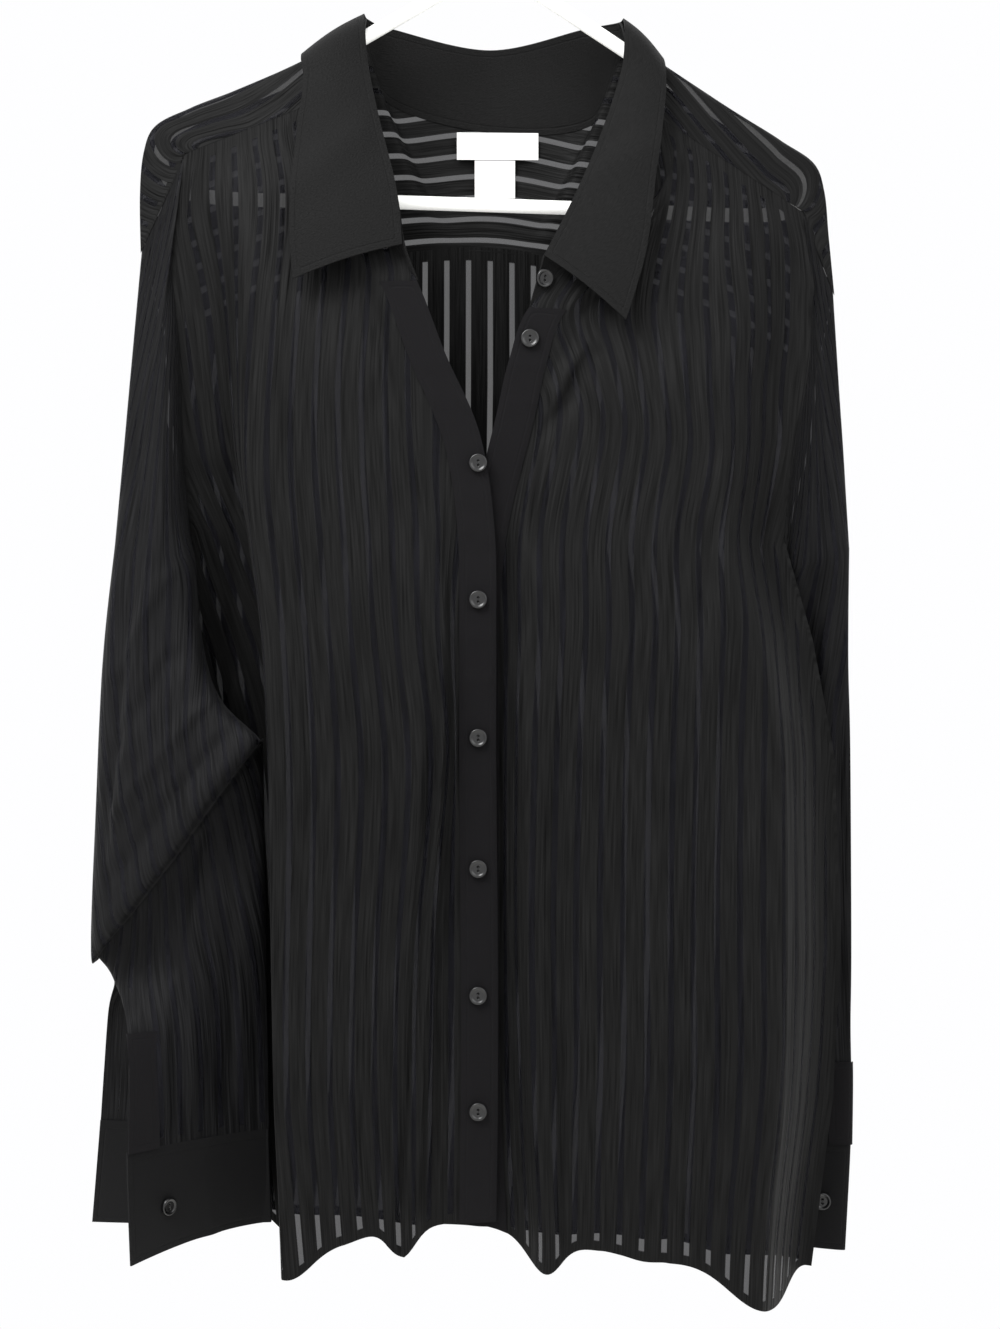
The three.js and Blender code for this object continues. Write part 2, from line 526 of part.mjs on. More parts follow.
// The hanger's tube: its axis, and the height of the axis along its arms.
const loopPoints = HANGER_LOOP.map((point) => new THREE.Vector3(point.x, 0, point.z));
const loopCurve = new THREE.CatmullRomCurve3(loopPoints, true, "centripetal");
const LOOP_SAMPLES = loopCurve.getPoints(400);
function armAxisHeight(x) {
  let height = -Infinity;
  for (let k = 1; k < LOOP_SAMPLES.length; k++) {
    const from = LOOP_SAMPLES[k - 1];
    const to = LOOP_SAMPLES[k];
    if ((from.x - x) * (to.x - x) > 0) continue;
    height = Math.max(height, lerp(from.z, to.z, (x - from.x) / (to.x - from.x)));
  }
  return height;
}
const ARM_SLOPE = THREE.MathUtils.degToRad(33);
const overArm = (x, radius) => armAxisHeight(x) + radius / Math.cos(ARM_SLOPE);
const LOOSE_AT_NECK = 1.5; // how much wider the cloth lies round the tube at the neck

// The yoke: across from the right armhole to the left one, and down from the shoulder seam or
// the neck to the back seam. On the shoulders it goes up to the hanger's tube, round it and
// down the back, and behind the neck it hangs straight.
const YOKE_COLUMNS = 38;
const SHOULDER_COLUMNS = 9;
const SHOULDER = SHOULDER_COLUMNS / YOKE_COLUMNS; // how much of the width each shoulder takes
const YOKE_DOWN = [0, 0.125, 0.25, 0.3125, 0.375, 0.4375, 0.5, 0.75, 1];
const AROUND = { start: 0.25, end: 0.5, angle: THREE.MathUtils.degToRad(75) };
const RIDGE_AT = (AROUND.start + AROUND.end) / 2;
const CORNER_CLEAR = 1.5;

// The seam that joins the yoke to a front, from the yoke's corner at the armhole to the neck
// point. Near the corner many of the yoke's columns start close together.
function shoulderSeam(front, share) {
  const { side, edge } = frontSection(front, 0);
  side.x -= front.inwards;
  side.z += CORNER_CLEAR;
  return side.lerp(edge, share ** 3);
}

function yokeFrontEdge(across) {
  if (across < SHOULDER) return shoulderSeam(right, across / SHOULDER);
  if (across > 1 - SHOULDER) return shoulderSeam(left, (1 - across) / SHOULDER);
  return neckSeam(yokeStation(across));
}

// The collar's station above a column of the yoke, and how many stations past a neck point.
const yokeStation = (across) => {
  return lerp(RIGHT_NECK_POINT, LEFT_NECK_POINT, (across - SHOULDER) / (1 - 2 * SHOULDER));
};
function pastNeckPoint(across) {
  const station = yokeStation(across);
  return Math.max(0, Math.min(station - RIGHT_NECK_POINT, LEFT_NECK_POINT - station));
}

// The yoke's highest line: the table's on the shoulders, and from there over the tube to the
// neck seam.
function yokeRidge(across) {
  const table = across < 0.5 ? YOKE_RIDGE_RIGHT : YOKE_RIDGE_LEFT;
  const share = clamp01(Math.min(across, 1 - across) / SHOULDER);
  const row = rowAt(table, share * (table.length - 1));
  const toNeck = smooth(pastNeckPoint(across));
  const x = lerp(row.x, yokeFrontEdge(across).x, toNeck);
  const radius = ON_TUBE * lerp(1, LOOSE_AT_NECK, toNeck);
  const z = overArm(x, radius);
  return { x, z: toNeck > 0 ? z : Math.max(row.z, z), radius };
}

function overShoulder(front, ridge, back, down) {
  const roundTube = (turn) => new THREE.Vector3(
    ridge.x,
    ridge.radius * Math.sin(turn),
    ridge.z - ridge.radius * (1 - Math.cos(turn)),
  );
  const { start, end, angle } = AROUND;
  if (down < start) return front.clone().lerp(roundTube(-angle), down / start);
  if (down > end) return roundTube(angle).lerp(back, (down - end) / (1 - end));
  return roundTube(lerp(-angle, angle, (down - start) / (end - start)));
}

function yokePoint(across, down) {
  const front = yokeFrontEdge(across);
  const back = backPoint(0, across);
  back.z += 2 * SEAM;
  const past = pastNeckPoint(across);
  const starts = past < 2 ? RIDGE_AT * clamp01(past - 1) : lerp(RIDGE_AT, AROUND.end, clamp01(past - 2));
  if (past > 4) return front.lerp(back, down);
  const straight = front.clone().lerp(back, down);
  const ridge = yokeRidge(across);
  return overShoulder(front, ridge, back, lerp(starts, 1, down)).lerp(straight, smooth(past - 3));
}

const YOKE_INSET = 0.003; // the share of the yoke's width that keeps it clear of each sleeve
const yokeGrid = (i, j) => {
  const across = Math.min(1 - YOKE_INSET, Math.max(YOKE_INSET, j / YOKE_COLUMNS));
  return yokePoint(across, YOKE_DOWN[i]);
};

// Where the neck seam crosses over the tube it runs along the yoke's columns, so there the
// wall's inside lies straight towards the tube's axis.
function towardsTube(i, j) {
  const across = j / YOKE_COLUMNS;
  const past = pastNeckPoint(across);
  if (past < 1 || past > 3) return null;
  const { z, radius } = yokeRidge(across);
  const point = yokeGrid(i, j);
  if (point.y > radius) return null;
  return new THREE.Vector3(0, -point.y, z - radius - point.z).normalize();
}
const yokeRows = YOKE_DOWN.length - 1;
addPiece("yoke", wallGeometry(yokeGrid, yokeRows, YOKE_COLUMNS, CLOTH, -1, -1, towardsTube), sheer);

// A sleeve's section below the armhole at t and at round: from the outer edge over the front
// layer to the inner edge at a half, and over the back layer to the outer edge again.
function sleevePoint(sections, t, round, closed) {
  const row = rowAt(sections, t);
  const onFront = round <= 0.5;
  const inner = new THREE.Vector3(...row.in);
  const outer = new THREE.Vector3(...(onFront || closed ? row.out : row.back));
  const point = outer.lerp(inner, 0.5 - 0.5 * Math.cos(2 * Math.PI * round));
  point.y += row.bulge[onFront ? 0 : 1] * Math.abs(Math.sin(2 * Math.PI * round)) ** row.taper;
  return point;
}

// The armhole at round: from the shoulder point forward along the yoke's end, down the front
// armhole to the armpit, up the back one, and along the yoke's end to the shoulder point. It
// keeps clear of the pieces it is sewn to, a wall's width in from their edges.
const ON_SEAM = { yokeCorner: 0.15, armpit: 0.5, backCorner: 0.85 };
const CLEAR = CLOTH + SEAM;
const BELOW_CORNER = 0.1; // the share of the yoke's front end above the sleeve's corner
const IN_CORNER = 0.03; // the share of the front armhole above the sleeve's corner
function armholePoint(hole, round) {
  const { yokeCorner, armpit, backCorner } = ON_SEAM;
  const yokeEnd = (down) => yokePoint(hole.sign < 0 ? 0 : 1, down);
  const outwards = new THREE.Vector3(hole.sign * CLEAR, 0, 0);
  if (round < yokeCorner) {
    const share = round / yokeCorner;
    const away = new THREE.Vector3(-hole.sign * smooth(share * 2), 0, -0.5).setLength(CLEAR);
    return yokeEnd(RIDGE_AT * (1 - share * (1 - BELOW_CORNER))).add(away);
  }
  if (round < armpit) {
    const share = lerp(IN_CORNER, 1, (round - yokeCorner) / (armpit - yokeCorner));
    return alongSeam(hole.front, share).add(outwards);
  }
  if (round < backCorner) {
    const share = (round - armpit) / (backCorner - armpit);
    const seam = alongSeam(hole.back, 1 - share).add(outwards);
    seam.y += BEHIND_SEAM;
    return seam;
  }
  const share = (round - backCorner) / (1 - backCorner);
  const away = new THREE.Vector3(hole.sign * smooth(2 - share * 2), 0, -0.5).setLength(CLEAR);
  return yokeEnd(lerp(1, RIDGE_AT, share)).add(away);
}

const SLEEVE_COLUMNS = 20;
const CAP_ROWS = 4;
function sleevePiece(name, hole, tube, slit, rows) {
  const closed = tube.map((row) => ({ ...row, back: row.out }));
  const sections = [...closed, ...slit.slice(0, 2)];
  const joined = CAP_ROWS + ((tube.length - 1) / (sections.length - 1)) * (rows - CAP_ROWS);
  const points = (i, j) => {
    const round = j / SLEEVE_COLUMNS;
    if (i < CAP_ROWS) {
      return armholePoint(hole, round).lerp(sleevePoint(sections, 0, round, true), i / CAP_ROWS);
    }
    const t = ((i - CAP_ROWS) / (rows - CAP_ROWS)) * (sections.length - 1);
    return sleevePoint(sections, t, round, i <= joined);
  };
  addPiece(name, wallGeometry(points, rows, SLEEVE_COLUMNS, CLOTH, -hole.sign, joined), sheer);
  sleevePlacket(name.replace("sleeve", "sleeve_placket"), points, rows, -hole.sign, hole.placketOff);
}

// The narrow band on the slit's front edge, laid over the sleeve.
const SLEEVE_PLACKET_COLUMNS = 3;
const SLEEVE_PLACKET_ROWS = 2;
function sleevePlacket(name, points, lastRow, side, off) {
  const rows = SLEEVE_PLACKET_ROWS;
  const laid = (i, j) => moveOut(points, i + lastRow - rows, j, lastRow, side, off);
  addPiece(name, wallGeometry(laid, rows, SLEEVE_PLACKET_COLUMNS, CLOTH, side), sheer);
}

// A grid's point moved out of its wall's outer face by a distance.
function moveOut(points, i, j, lastRow, side, distance) {
  const across = points(i, j + 1).sub(points(i, Math.max(j - 1, 0)));
  const down = points(Math.min(i + 1, lastRow), j).sub(points(i - 1, j));
  return points(i, j).add(across.cross(down).setLength(-side * distance));
}

// The right sleeve's edge curls in at the slit, so its placket lies further off.
const rightHole = { sign: -1, front: ARMHOLE_FRONT_RIGHT, back: ARMHOLE_BACK_RIGHT, placketOff: 3.1 };
const leftHole = { sign: 1, front: ARMHOLE_FRONT_LEFT, back: ARMHOLE_BACK_LEFT, placketOff: LAID };
sleevePiece("sleeve_right", rightHole, SLEEVE_RIGHT, SLIT_RIGHT, 18);
sleevePiece("sleeve_left", leftHole, SLEEVE_LEFT, SLIT_LEFT, 13);

// A cuff goes on from the sleeve's last section, a seam's width lower.
const CUFF_ROWS = 2;
const CUFF_COLUMNS = 20;
function cuffPoint(slit, t, round) {
  const point = sleevePoint(slit, t, round, false);
  point.z -= SEAM;
  return point;
}
function cuffPiece(name, slit, side) {
  const points = (i, j) => cuffPoint(slit, 1 + i / CUFF_ROWS, j / CUFF_COLUMNS);
  addPiece(name, wallGeometry(points, CUFF_ROWS, CUFF_COLUMNS, BAND, side), opaque);
}
cuffPiece("cuff_right", SLIT_RIGHT, 1);
cuffPiece("cuff_left", SLIT_LEFT, -1);

// Collar: the fall goes from the roll down to the outer edge, bowed out a little, and the stand
// goes up from the neck seam to the inside of the roll.
const COLLAR_COLUMNS = 2 * LAST_STATION;
const FALL_BOW = 3;
function fallPoint(across, down) {
  const row = rowAt(COLLAR, across * LAST_STATION);
  const roll = new THREE.Vector3(...row.roll);
  const bow = FALL_BOW * Math.sin(Math.PI * down);
  const away = new THREE.Vector3(0, roll.y < 10 ? -bow : bow, bow / 2);
  return roll.lerp(new THREE.Vector3(...row.edge), down).add(away);
}
const FALL_ROWS = 3;
const fallGrid = (i, j) => fallPoint(j / COLLAR_COLUMNS, i / FALL_ROWS);
addPiece("collar_fall", wallGeometry(fallGrid, FALL_ROWS, COLLAR_COLUMNS, BAND, -1), opaque);

const ABOVE_NECK_SEAM = 1.8;
const INSIDE_FALL = BAND + 1.4;
const NEAR = 0.01; // the step that a slope is measured over
function standPoint(across, up) {
  const station = across * LAST_STATION;
  const yokeShare = (station - RIGHT_NECK_POINT) / (LEFT_NECK_POINT - RIGHT_NECK_POINT);
  const onYoke = yokeShare > 0 && yokeShare < 1;
  const seam = onYoke ? yokePoint(lerp(SHOULDER, 1 - SHOULDER, yokeShare), 0) : neckSeam(station);
  const along = fallPoint(Math.min(across + NEAR, 1), 0).sub(fallPoint(Math.max(across - NEAR, 0), 0));
  const down = fallPoint(across, 1 / FALL_ROWS).sub(fallPoint(across, 0));
  const top = fallPoint(across, 0).sub(along.cross(down).setLength(INSIDE_FALL));
  return seam.lerp(top, lerp(ABOVE_NECK_SEAM / top.distanceTo(seam), 1, up));
}
const STAND_ROWS = 2;
const standGrid = (i, j) => standPoint(j / COLLAR_COLUMNS, 1 - i / STAND_ROWS);
addPiece("collar_stand", wallGeometry(standGrid, STAND_ROWS, COLLAR_COLUMNS, BAND, -1), opaque);

// Labels: flat, sewn to the yoke's inner face at their ends.
const BEHIND_LABEL = CLOTH + 0.8;
function yokeInside(x, z) {
  let across = 0.5;
  let down = 0;
  for (let step = 0; step < 6; step++) {
    const point = yokePoint(across, down);
    across += (x - point.x) / (YOKE_RIDGE_LEFT[0].x - YOKE_RIDGE_RIGHT[0].x);
    down += (point.z - z) / (yokePoint(across, 0).z - yokePoint(across, 1).z);
  }
  return new THREE.Vector3(x, yokePoint(across, down).y - BEHIND_LABEL, z);
}
function labelPoint(x, z) {
  const { left: fromX, right: toX, top } = LABEL_MAIN;
  const { bottom } = LABEL_SIZE;
  const share = (x - fromX) / (toX - fromX);
  const upper = yokeInside(fromX, top).lerp(yokeInside(toX, top), share);
  const lower = yokeInside(fromX, bottom).lerp(yokeInside(toX, bottom), share);
  return upper.lerp(lower, (z - top) / (bottom - top));
}
function labelPiece(name, label) {
  const points = (i, j) => labelPoint(j ? label.right : label.left, i ? label.bottom : label.top);
  addPiece(name, wallGeometry(points, 1, 1, LABEL_THICK, -1), satin);
}
labelPiece("label_main", LABEL_MAIN);
labelPiece("label_size", LABEL_SIZE);

// Buttons: a disc with a raised rim. at is the point of the face it lies on, and towards the way
// it faces.
const BUTTON_PROFILE = [
  [0, 0],
  [BUTTON_RADIUS - 0.6, 0],
  [BUTTON_RADIUS, 0.8],
  [BUTTON_RADIUS - 0.4, BUTTON_THICK],
  [BUTTON_RADIUS - 1.6, BUTTON_THICK],
  [BUTTON_RADIUS - 2.4, BUTTON_THICK - 0.7],
  [0, BUTTON_THICK - 0.7],
];
const BUTTON_SIDES = 12;
const BUTTON_OFF = 0.6; // space between a button and the cloth below it
const buttonOutline = BUTTON_PROFILE.map(([x, y]) => new THREE.Vector2(x, y));
function addButton(name, at, towards) {
  const button = addPiece(name, new THREE.LatheGeometry(buttonOutline, BUTTON_SIDES), plastic);
  button.quaternion.setFromUnitVectors(new THREE.Vector3(0, 1, 0), towards);
  button.position.copy(at).addScaledVector(towards, BUTTON_OFF);
}

// The direction out of a surface at u and v, on the side where y is less.
function facing(surface, u, v) {
  const alongU = surface(u + NEAR, v).sub(surface(u - NEAR, v));
  const alongV = surface(u, v + NEAR).sub(surface(u, v - NEAR));
  const out = alongU.cross(alongV).normalize();
  return out.y < 0 ? out : out.negate();
}

// The point of a front's placket at x and z.
function onPlacket(front, x, z) {
  let t = 2;
  for (let step = 0; step < 20; step++) {
    t += (frontPoint(front, t, x).z - z) / 90;
  }
  const point = frontPoint(front, t, x);
  point.y -= LAID;
  return point;
}
const forward = new THREE.Vector3(0, -1, 0);
addButton("button_front_1", onPlacket(left, OPEN_BUTTON.x, OPEN_BUTTON.z), forward);
PLACKET_BUTTONS.heights.forEach((z, k) => {
  addButton(`button_front_${k + 2}`, onPlacket(right, PLACKET_BUTTONS.x, z), forward);
});
const { across: standAcross, up: standUp } = STAND_BUTTON;
addButton("button_stand", standPoint(standAcross, standUp), facing(standPoint, standAcross, standUp));
for (const [name, slit] of [["button_cuff_right", SLIT_RIGHT], ["button_cuff_left", SLIT_LEFT]]) {
  const surface = (t, round) => cuffPoint(slit, t, round);
  const { t, round } = CUFF_BUTTON;
  addButton(name, surface(t, round), facing(surface, t, round));
}

// The hanger: one loop of tube with the hook's stem growing out of its top.
const TUBE_SIDES = 8;
function stemAlong(curve, steps) {
  const round = new THREE.Shape().absarc(0, 0, TUBE_RADIUS, 0, 2 * Math.PI, false);
  const options = { steps, curveSegments: TUBE_SIDES / 2, bevelEnabled: false, extrudePath: curve };
  return new THREE.ExtrudeGeometry(round, options);
}

function manifoldFrom(geometry) {
  const bare = new THREE.BufferGeometry().setAttribute("position", geometry.getAttribute("position"));
  if (geometry.index) bare.setIndex(geometry.index);
  const merged = mergeVertices(bare, 1e-3);
  const vertProperties = merged.getAttribute("position").array;
  const triVerts = new Uint32Array(merged.index.array);
  return new wasm.Manifold(new wasm.Mesh({ numProp: 3, vertProperties, triVerts }));
}

function geometryFrom(solid) {
  const { vertProperties, triVerts } = solid.getMesh();
  const geometry = new THREE.BufferGeometry();
  geometry.setAttribute("position", new THREE.Float32BufferAttribute(vertProperties, 3));
  geometry.setIndex(new THREE.Uint32BufferAttribute(triVerts, 1));
  return geometry;
}

const STEM = [
  { x: 0, z: HANGER_LOOP[0].z },
  { x: 1, z: -56 },
  { x: 9, z: -43 },
];
const HOOK_ARC = { start: -55, end: 215, step: 27 }; // degrees round the hook's centre
const stemPoints = STEM.map((point) => new THREE.Vector3(point.x, 0, point.z));
for (let degrees = HOOK_ARC.start; degrees <= HOOK_ARC.end; degrees += HOOK_ARC.step) {
  const angle = THREE.MathUtils.degToRad(degrees);
  const up = new THREE.Vector3(Math.cos(angle), 0, Math.sin(angle)).multiplyScalar(HOOK_RADIUS);
  stemPoints.push(up.add(new THREE.Vector3(0, 0, HOOK_CENTRE_Z)));
}
const stemCurve = new THREE.CatmullRomCurve3(stemPoints, false, "centripetal");
const LOOP_STEPS = 46;
const STEM_STEPS = 22;
const loopGeometry = new THREE.TubeGeometry(loopCurve, LOOP_STEPS, TUBE_RADIUS, TUBE_SIDES, true);
const hangerSolid = manifoldFrom(loopGeometry).add(manifoldFrom(stemAlong(stemCurve, STEM_STEPS)));
addPiece("hanger", geometryFrom(hangerSolid), whitePlastic);

export default shirt;
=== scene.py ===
import math

import bpy
import numpy as np
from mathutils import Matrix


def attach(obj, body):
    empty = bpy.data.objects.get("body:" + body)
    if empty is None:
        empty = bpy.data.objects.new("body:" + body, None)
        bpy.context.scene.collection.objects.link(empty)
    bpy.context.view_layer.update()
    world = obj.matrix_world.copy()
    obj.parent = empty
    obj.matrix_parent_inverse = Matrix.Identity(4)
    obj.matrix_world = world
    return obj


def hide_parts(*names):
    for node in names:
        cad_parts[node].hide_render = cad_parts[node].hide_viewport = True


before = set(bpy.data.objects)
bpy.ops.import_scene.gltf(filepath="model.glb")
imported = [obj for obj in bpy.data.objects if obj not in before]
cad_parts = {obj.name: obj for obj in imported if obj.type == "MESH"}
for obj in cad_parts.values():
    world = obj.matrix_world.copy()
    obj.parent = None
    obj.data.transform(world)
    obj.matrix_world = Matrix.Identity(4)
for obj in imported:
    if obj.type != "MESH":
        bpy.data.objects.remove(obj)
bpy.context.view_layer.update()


# FRONTS
# The two front panels: sheer striped chiffon, sewn to the yoke, the collar and the sides.
# Each is a thin wall over a surface of its section and its column, with folds placed one by one.
# Tables are in millimetres, with +Z up and the front facing -Y. Right and left are the wearer's.

CLOTH = 1.2  # wall of the lined pieces here, and of every cloth in the solids
THIN = 0.4  # wall of a single layer as it shows
SEAM = 0.5  # kept free between two pieces at their seam
LAID = CLOTH + 0.4  # from a cloth's face to that of the cloth laid on it
PLACKET_WIDTH = 22.6

# x, y, z down the armhole's front from the yoke's corner, and down the side seam to the hem
ARMHOLE_FRONT_RIGHT = [
    (-189, -8, -187.5), (-196, -9, -236), (-196, -9, -292), (-190, -5, -378), (-187, 3, -421),
]
SIDE_RIGHT = [
    (-187, 3, -421), (-194, 20, -489), (-201, 34, -564), (-205, 40, -684), (-206, 42, -780),
    (-207, 43, -852),
]
ARMHOLE_FRONT_LEFT = [
    (194, -8, -223.5), (200, -9, -268), (197, -8, -318), (186, -6, -385), (184, 0, -431),
]
SIDE_LEFT = [
    (184, 0, -431), (200, -3, -489), (214, -2, -563), (218, 0, -681), (213, 0, -777),
    (199, -4, -880),
]

# turn, the width it turns over, pleat, depth of the flat front, and the front edge's x, y, z
FRONT_RIGHT = [
    (-170, 30, -125, -10, -98, -12, -151),
    (-165, 40, -95, -22, -67, -30, -232),
    (-160, 30, -74, -30, -45, -35, -269),
    (-157, 22, -58, -36, -27, -38, -315),
    (-154, 14, -42, -39, -6, -38, -364),
    (-149, 9, -30, -42, 3, -38, -423),
    (-141, 8, -26, -45, 4, -38, -489),
    (-137, 8, -24, -47, 4, -38, -563),
    (-135, 8, -40, -48, 5, -38, -678),
    (-133, 8, -50, -48, 5, -38, -770),
    (-129, 8, -54, -46, 4, -36, -844),
]
FRONT_LEFT = [
    (172, 30, 121, -10, 94, -12, -157),
    (172, 40, 95, -22, 66, -30, -240),
    (170, 40, 52, -30, 25, -35, -285),
    (165, 42, 42, -36, 12, -36, -318),
    (163, 42, 34, -39, 4, -34, -352),
    (162, 42, 18, -42, -12, -31, -423),
    (178, 42, 15, -46, -17, -31, -489),
    (192, 42, 14, -46, -17, -31, -563),
    (196, 42, 15, -47, -17, -31, -678),
    (191, 42, 22, -47, -16, -31, -770),
    (178, 40, 34, -46, -12, -31, -846),
]
ARMPIT_ROW = 5
NECK_ROW = 2

# top x, top z, foot x, foot z, how far it stands out, its reach, how much it lets the hem drop
FOLDS_RIGHT = [
    (-29, -430, -54, -860, 9, 11, 17),
    (-140, -440, -121, -866, 5, 24, 30),
    (-96, -560, -84, -860, 3, 16, 4),
    (-55, -290, -14, -372, 4, 9, 0),
    (-172, -440, -176, -850, 5, 10, 0),
]
FOLDS_LEFT = [
    (16, -400, 34, -870, 8, 13, 14),
    (24, -720, 26, -870, 0.5, 19, 17),
    (60, -306, 18, -372, 4, 9, 0),
    (138, -441, 104, -700, 6, 15, 0),
    (44, -480, 37, -590, 3, 9, 0),
    (155, -560, 160, -885, 12, 23, 18),
    (180, -720, 185, -888, 2, 14, 32),
    (104, -690, 92, -868, 3, 14, 2),
]

# x, z at the crease's top, middle and foot, how far it stands out, its reach to -X and to +X
CREASES_RIGHT = [
    (-28, -430, -27, -560, -48, -870, 9.0, 2.0, 11),
    (-36, -450, -34, -560, -59, -905, -8.0, 7, 2.4),
    (-112, -330, -108, -560, -104, -905, -1.6, 3.0, 8),
    (-84, -400, -83, -600, -88, -905, 1.6, 2.4, 9),
    (-62, -420, -58, -640, -66, -905, -1.8, 6, 2.6),
    (-128, -250, -134, -420, -118, -700, 1.5, 8, 3),
    (-96, -250, -92, -380, -90, -520, 1.2, 3, 7),
    (-70, -270, -60, -340, -40, -420, -1.8, 6, 3),
    (-20, -700, -34, -770, -45, -850, 1.8, 5, 3),
    (-178, -430, -172, -600, -180, -905, -2.4, 3, 9),
    (-158, -300, -160, -420, -168, -560, -2.0, 7, 3),
    (-38, -560, -33, -700, -30, -760, -1.4, 3, 6),
]
CREASES_LEFT = [
    (137, -430, 118, -540, 104, -700, -3.4, 10, 2.6),
    (20, -385, 24, -470, 16, -530, -3.2, 2.4, 7),
    (44, -480, 42, -570, 30, -640, -1.9, 2.4, 8),
    (157, -570, 141, -690, 136, -800, -2.2, 9, 3.0),
    (76, -500, 70, -640, 64, -905, 1.5, 8, 2.6),
    (92, -400, 84, -560, 82, -905, -1.4, 3, 9),
    (118, -300, 112, -420, 100, -520, 1.5, 9, 3),
    (64, -306, 44, -346, 18, -376, -3.0, 2.6, 9),
    (180, -440, 188, -600, 176, -905, -1.8, 8, 3),
    (150, -300, 154, -420, 150, -560, -1.6, 3, 9),
    (50, -640, 44, -760, 48, -905, -1.6, 3, 8),
    (34, -330, 30, -400, 34, -470, 1.4, 4, 6),
    (120, -690, 112, -800, 108, -905, 1.7, 3, 9),
]

# the collar's neck seam, its roll and its outer edge, each as x, y, z, from the right front end
COLLAR = np.array(
    [
        (-45, -35, -269, -53, -42, -249, -119, -47, -271),
        (-67, -30, -232, -57, -36, -213, -121.5, -43, -235),
        (-86, -20, -184, -68, -25, -168, -119, -32, -186),
        (-98, -12, -151, -75, -18, -134, -115, -24, -146),
        (-89, -9, -113, -77.5, -14, -108, -117, -17, -129),
        (-86, 0, -104.5, -79, 1, -96, -117, 2, -121),
        (-83, 9, -109.5, -77, 13, -96, -112, 18, -124),
        (-66, 34, -142, -62, 30, -97, -86, 48, -136),
        (0, 43, -159, 0, 45, -106, 0, 62, -152),
        (66, 34, -156, 60, 30, -97, 86, 48, -142),
        (88, 9, -117.5, 81, 13, -98, 104, 18, -127),
        (91, 0, -112.5, 84, 1, -99, 108, 2, -123),
        (92, -9, -120.5, 83.5, -14, -111, 109, -17, -136),
        (94, -12, -157, 81, -17, -138, 108, -24, -158),
        (84, -22, -200, 66, -26, -184, 102, -34, -202),
        (66, -30, -240, 49, -37, -224, 95, -43, -253),
        (25, -35, -285, 33, -43, -256, 82.5, -48, -296),
    ],
    float,
)
LAST_STATION = len(COLLAR) - 1
RIGHT_NECK_POINT = 3
LEFT_NECK_POINT = 13


def lerp(a, b, t):
    """a + (b - a) t."""
    return a + (b - a) * t


def stacked(*parts):
    """Arrays side by side along a new last axis, such as x, y and z of points."""
    return np.stack(parts, -1)


def smooth(t):
    """t² (3 - 2t), with t kept from 0 to 1."""
    t = np.clip(t, 0.0, 1.0)
    return t * t * (3 - 2 * t)


def rows_at(table, t):
    """A table's row at t, counted in rows: b + f s + f² (3r - 2s - e) + f³ (s + e - 2r), where r is
    the rise from row b to the next, s and e half the rises over their neighbours, and f the rest of t."""
    table, t = np.asarray(table, float), np.asarray(t, float)
    last = len(table) - 1
    i = np.clip(np.floor(t).astype(int), 0, last - 1)
    a, b, c, d = (table[np.clip(i + k, 0, last)] for k in (-1, 0, 1, 2))
    f = (t - i).reshape(t.shape + (1,) * (table.ndim - 1))
    rise, start, end = c - b, (c - a) / 2, (d - b) / 2
    return b + f * (start + f * (3 * rise - 2 * start - end + f * (start + end - 2 * rise)))


def along_seam(seam, t):
    """A point a share t along a seam's rows, in straight stretches."""
    seam = np.asarray(seam, float)
    knots = np.linspace(0, 1, len(seam))
    return np.stack([np.interp(t, knots, seam[:, axis]) for axis in range(3)], -1)


def side_at(armhole, seam, t, armpit, last):
    """Down the armhole to the row armpit, then down the side seam to the row last."""
    below = along_seam(seam, (t - armpit) / (last - armpit))
    return np.where((t <= armpit)[..., None], along_seam(armhole, t / armpit), below)


def fold_at(folds, x, z):
    """Sum over the folds of out exp(-(d / reach)²), faded at its ends, and the hem's drop there."""
    out, drop = np.zeros_like(x), np.zeros_like(x)
    for top_x, top_z, foot_x, foot_z, stands, reach, falls in folds:
        along = (top_z - z) / (top_z - foot_z)
        crest = lerp(top_x, foot_x, np.clip(along, 0, 1))
        beside = np.exp(-(((x - crest) / reach) ** 2))
        fades_out = 1 if falls > 0 else smooth((1.15 - along) * 4)
        out += stands * beside * smooth(along * 2.5 + 0.2) * fades_out
        drop += falls * beside * smooth((along - 0.8) / 0.2)
    return out, drop


def crease_at(creases, x, z):
    """Sum over the creases of out exp(-(d / reach)²), d being the distance in x from the crease's
    line and reach its own on each side, faded in and out over a sixth of its height."""
    total = np.zeros_like(x)
    for x0, z0, x1, z1, x2, z2, out, left_reach, right_reach in creases:
        along = (z0 - z) / (z0 - z2)
        d = x - np.interp(-z, [-z0, -z1, -z2], [x0, x1, x2])
        beside = np.exp(-((d / np.where(d < 0, left_reach, right_reach)) ** 2))
        total += out * beside * smooth(along * 6) * smooth((1 - along) * 6)
    return total


def neck_seam(station):
    """The collar's neck seam at a station."""
    return rows_at(COLLAR[:, :3], station)


right = dict(
    sections=FRONT_RIGHT,
    folds=FOLDS_RIGHT,
    creases=CREASES_RIGHT,
    armhole=ARMHOLE_FRONT_RIGHT,
    side=SIDE_RIGHT,
    station=lambda t: RIGHT_NECK_POINT * (1 - t / NECK_ROW),
    inwards=1,
)
left = dict(
    sections=FRONT_LEFT,
    folds=FOLDS_LEFT,
    creases=CREASES_LEFT,
    armhole=ARMHOLE_FRONT_LEFT,
    side=SIDE_LEFT,
    station=lambda t: lerp(LEFT_NECK_POINT, LAST_STATION, t / NECK_ROW),
    inwards=-1,
)


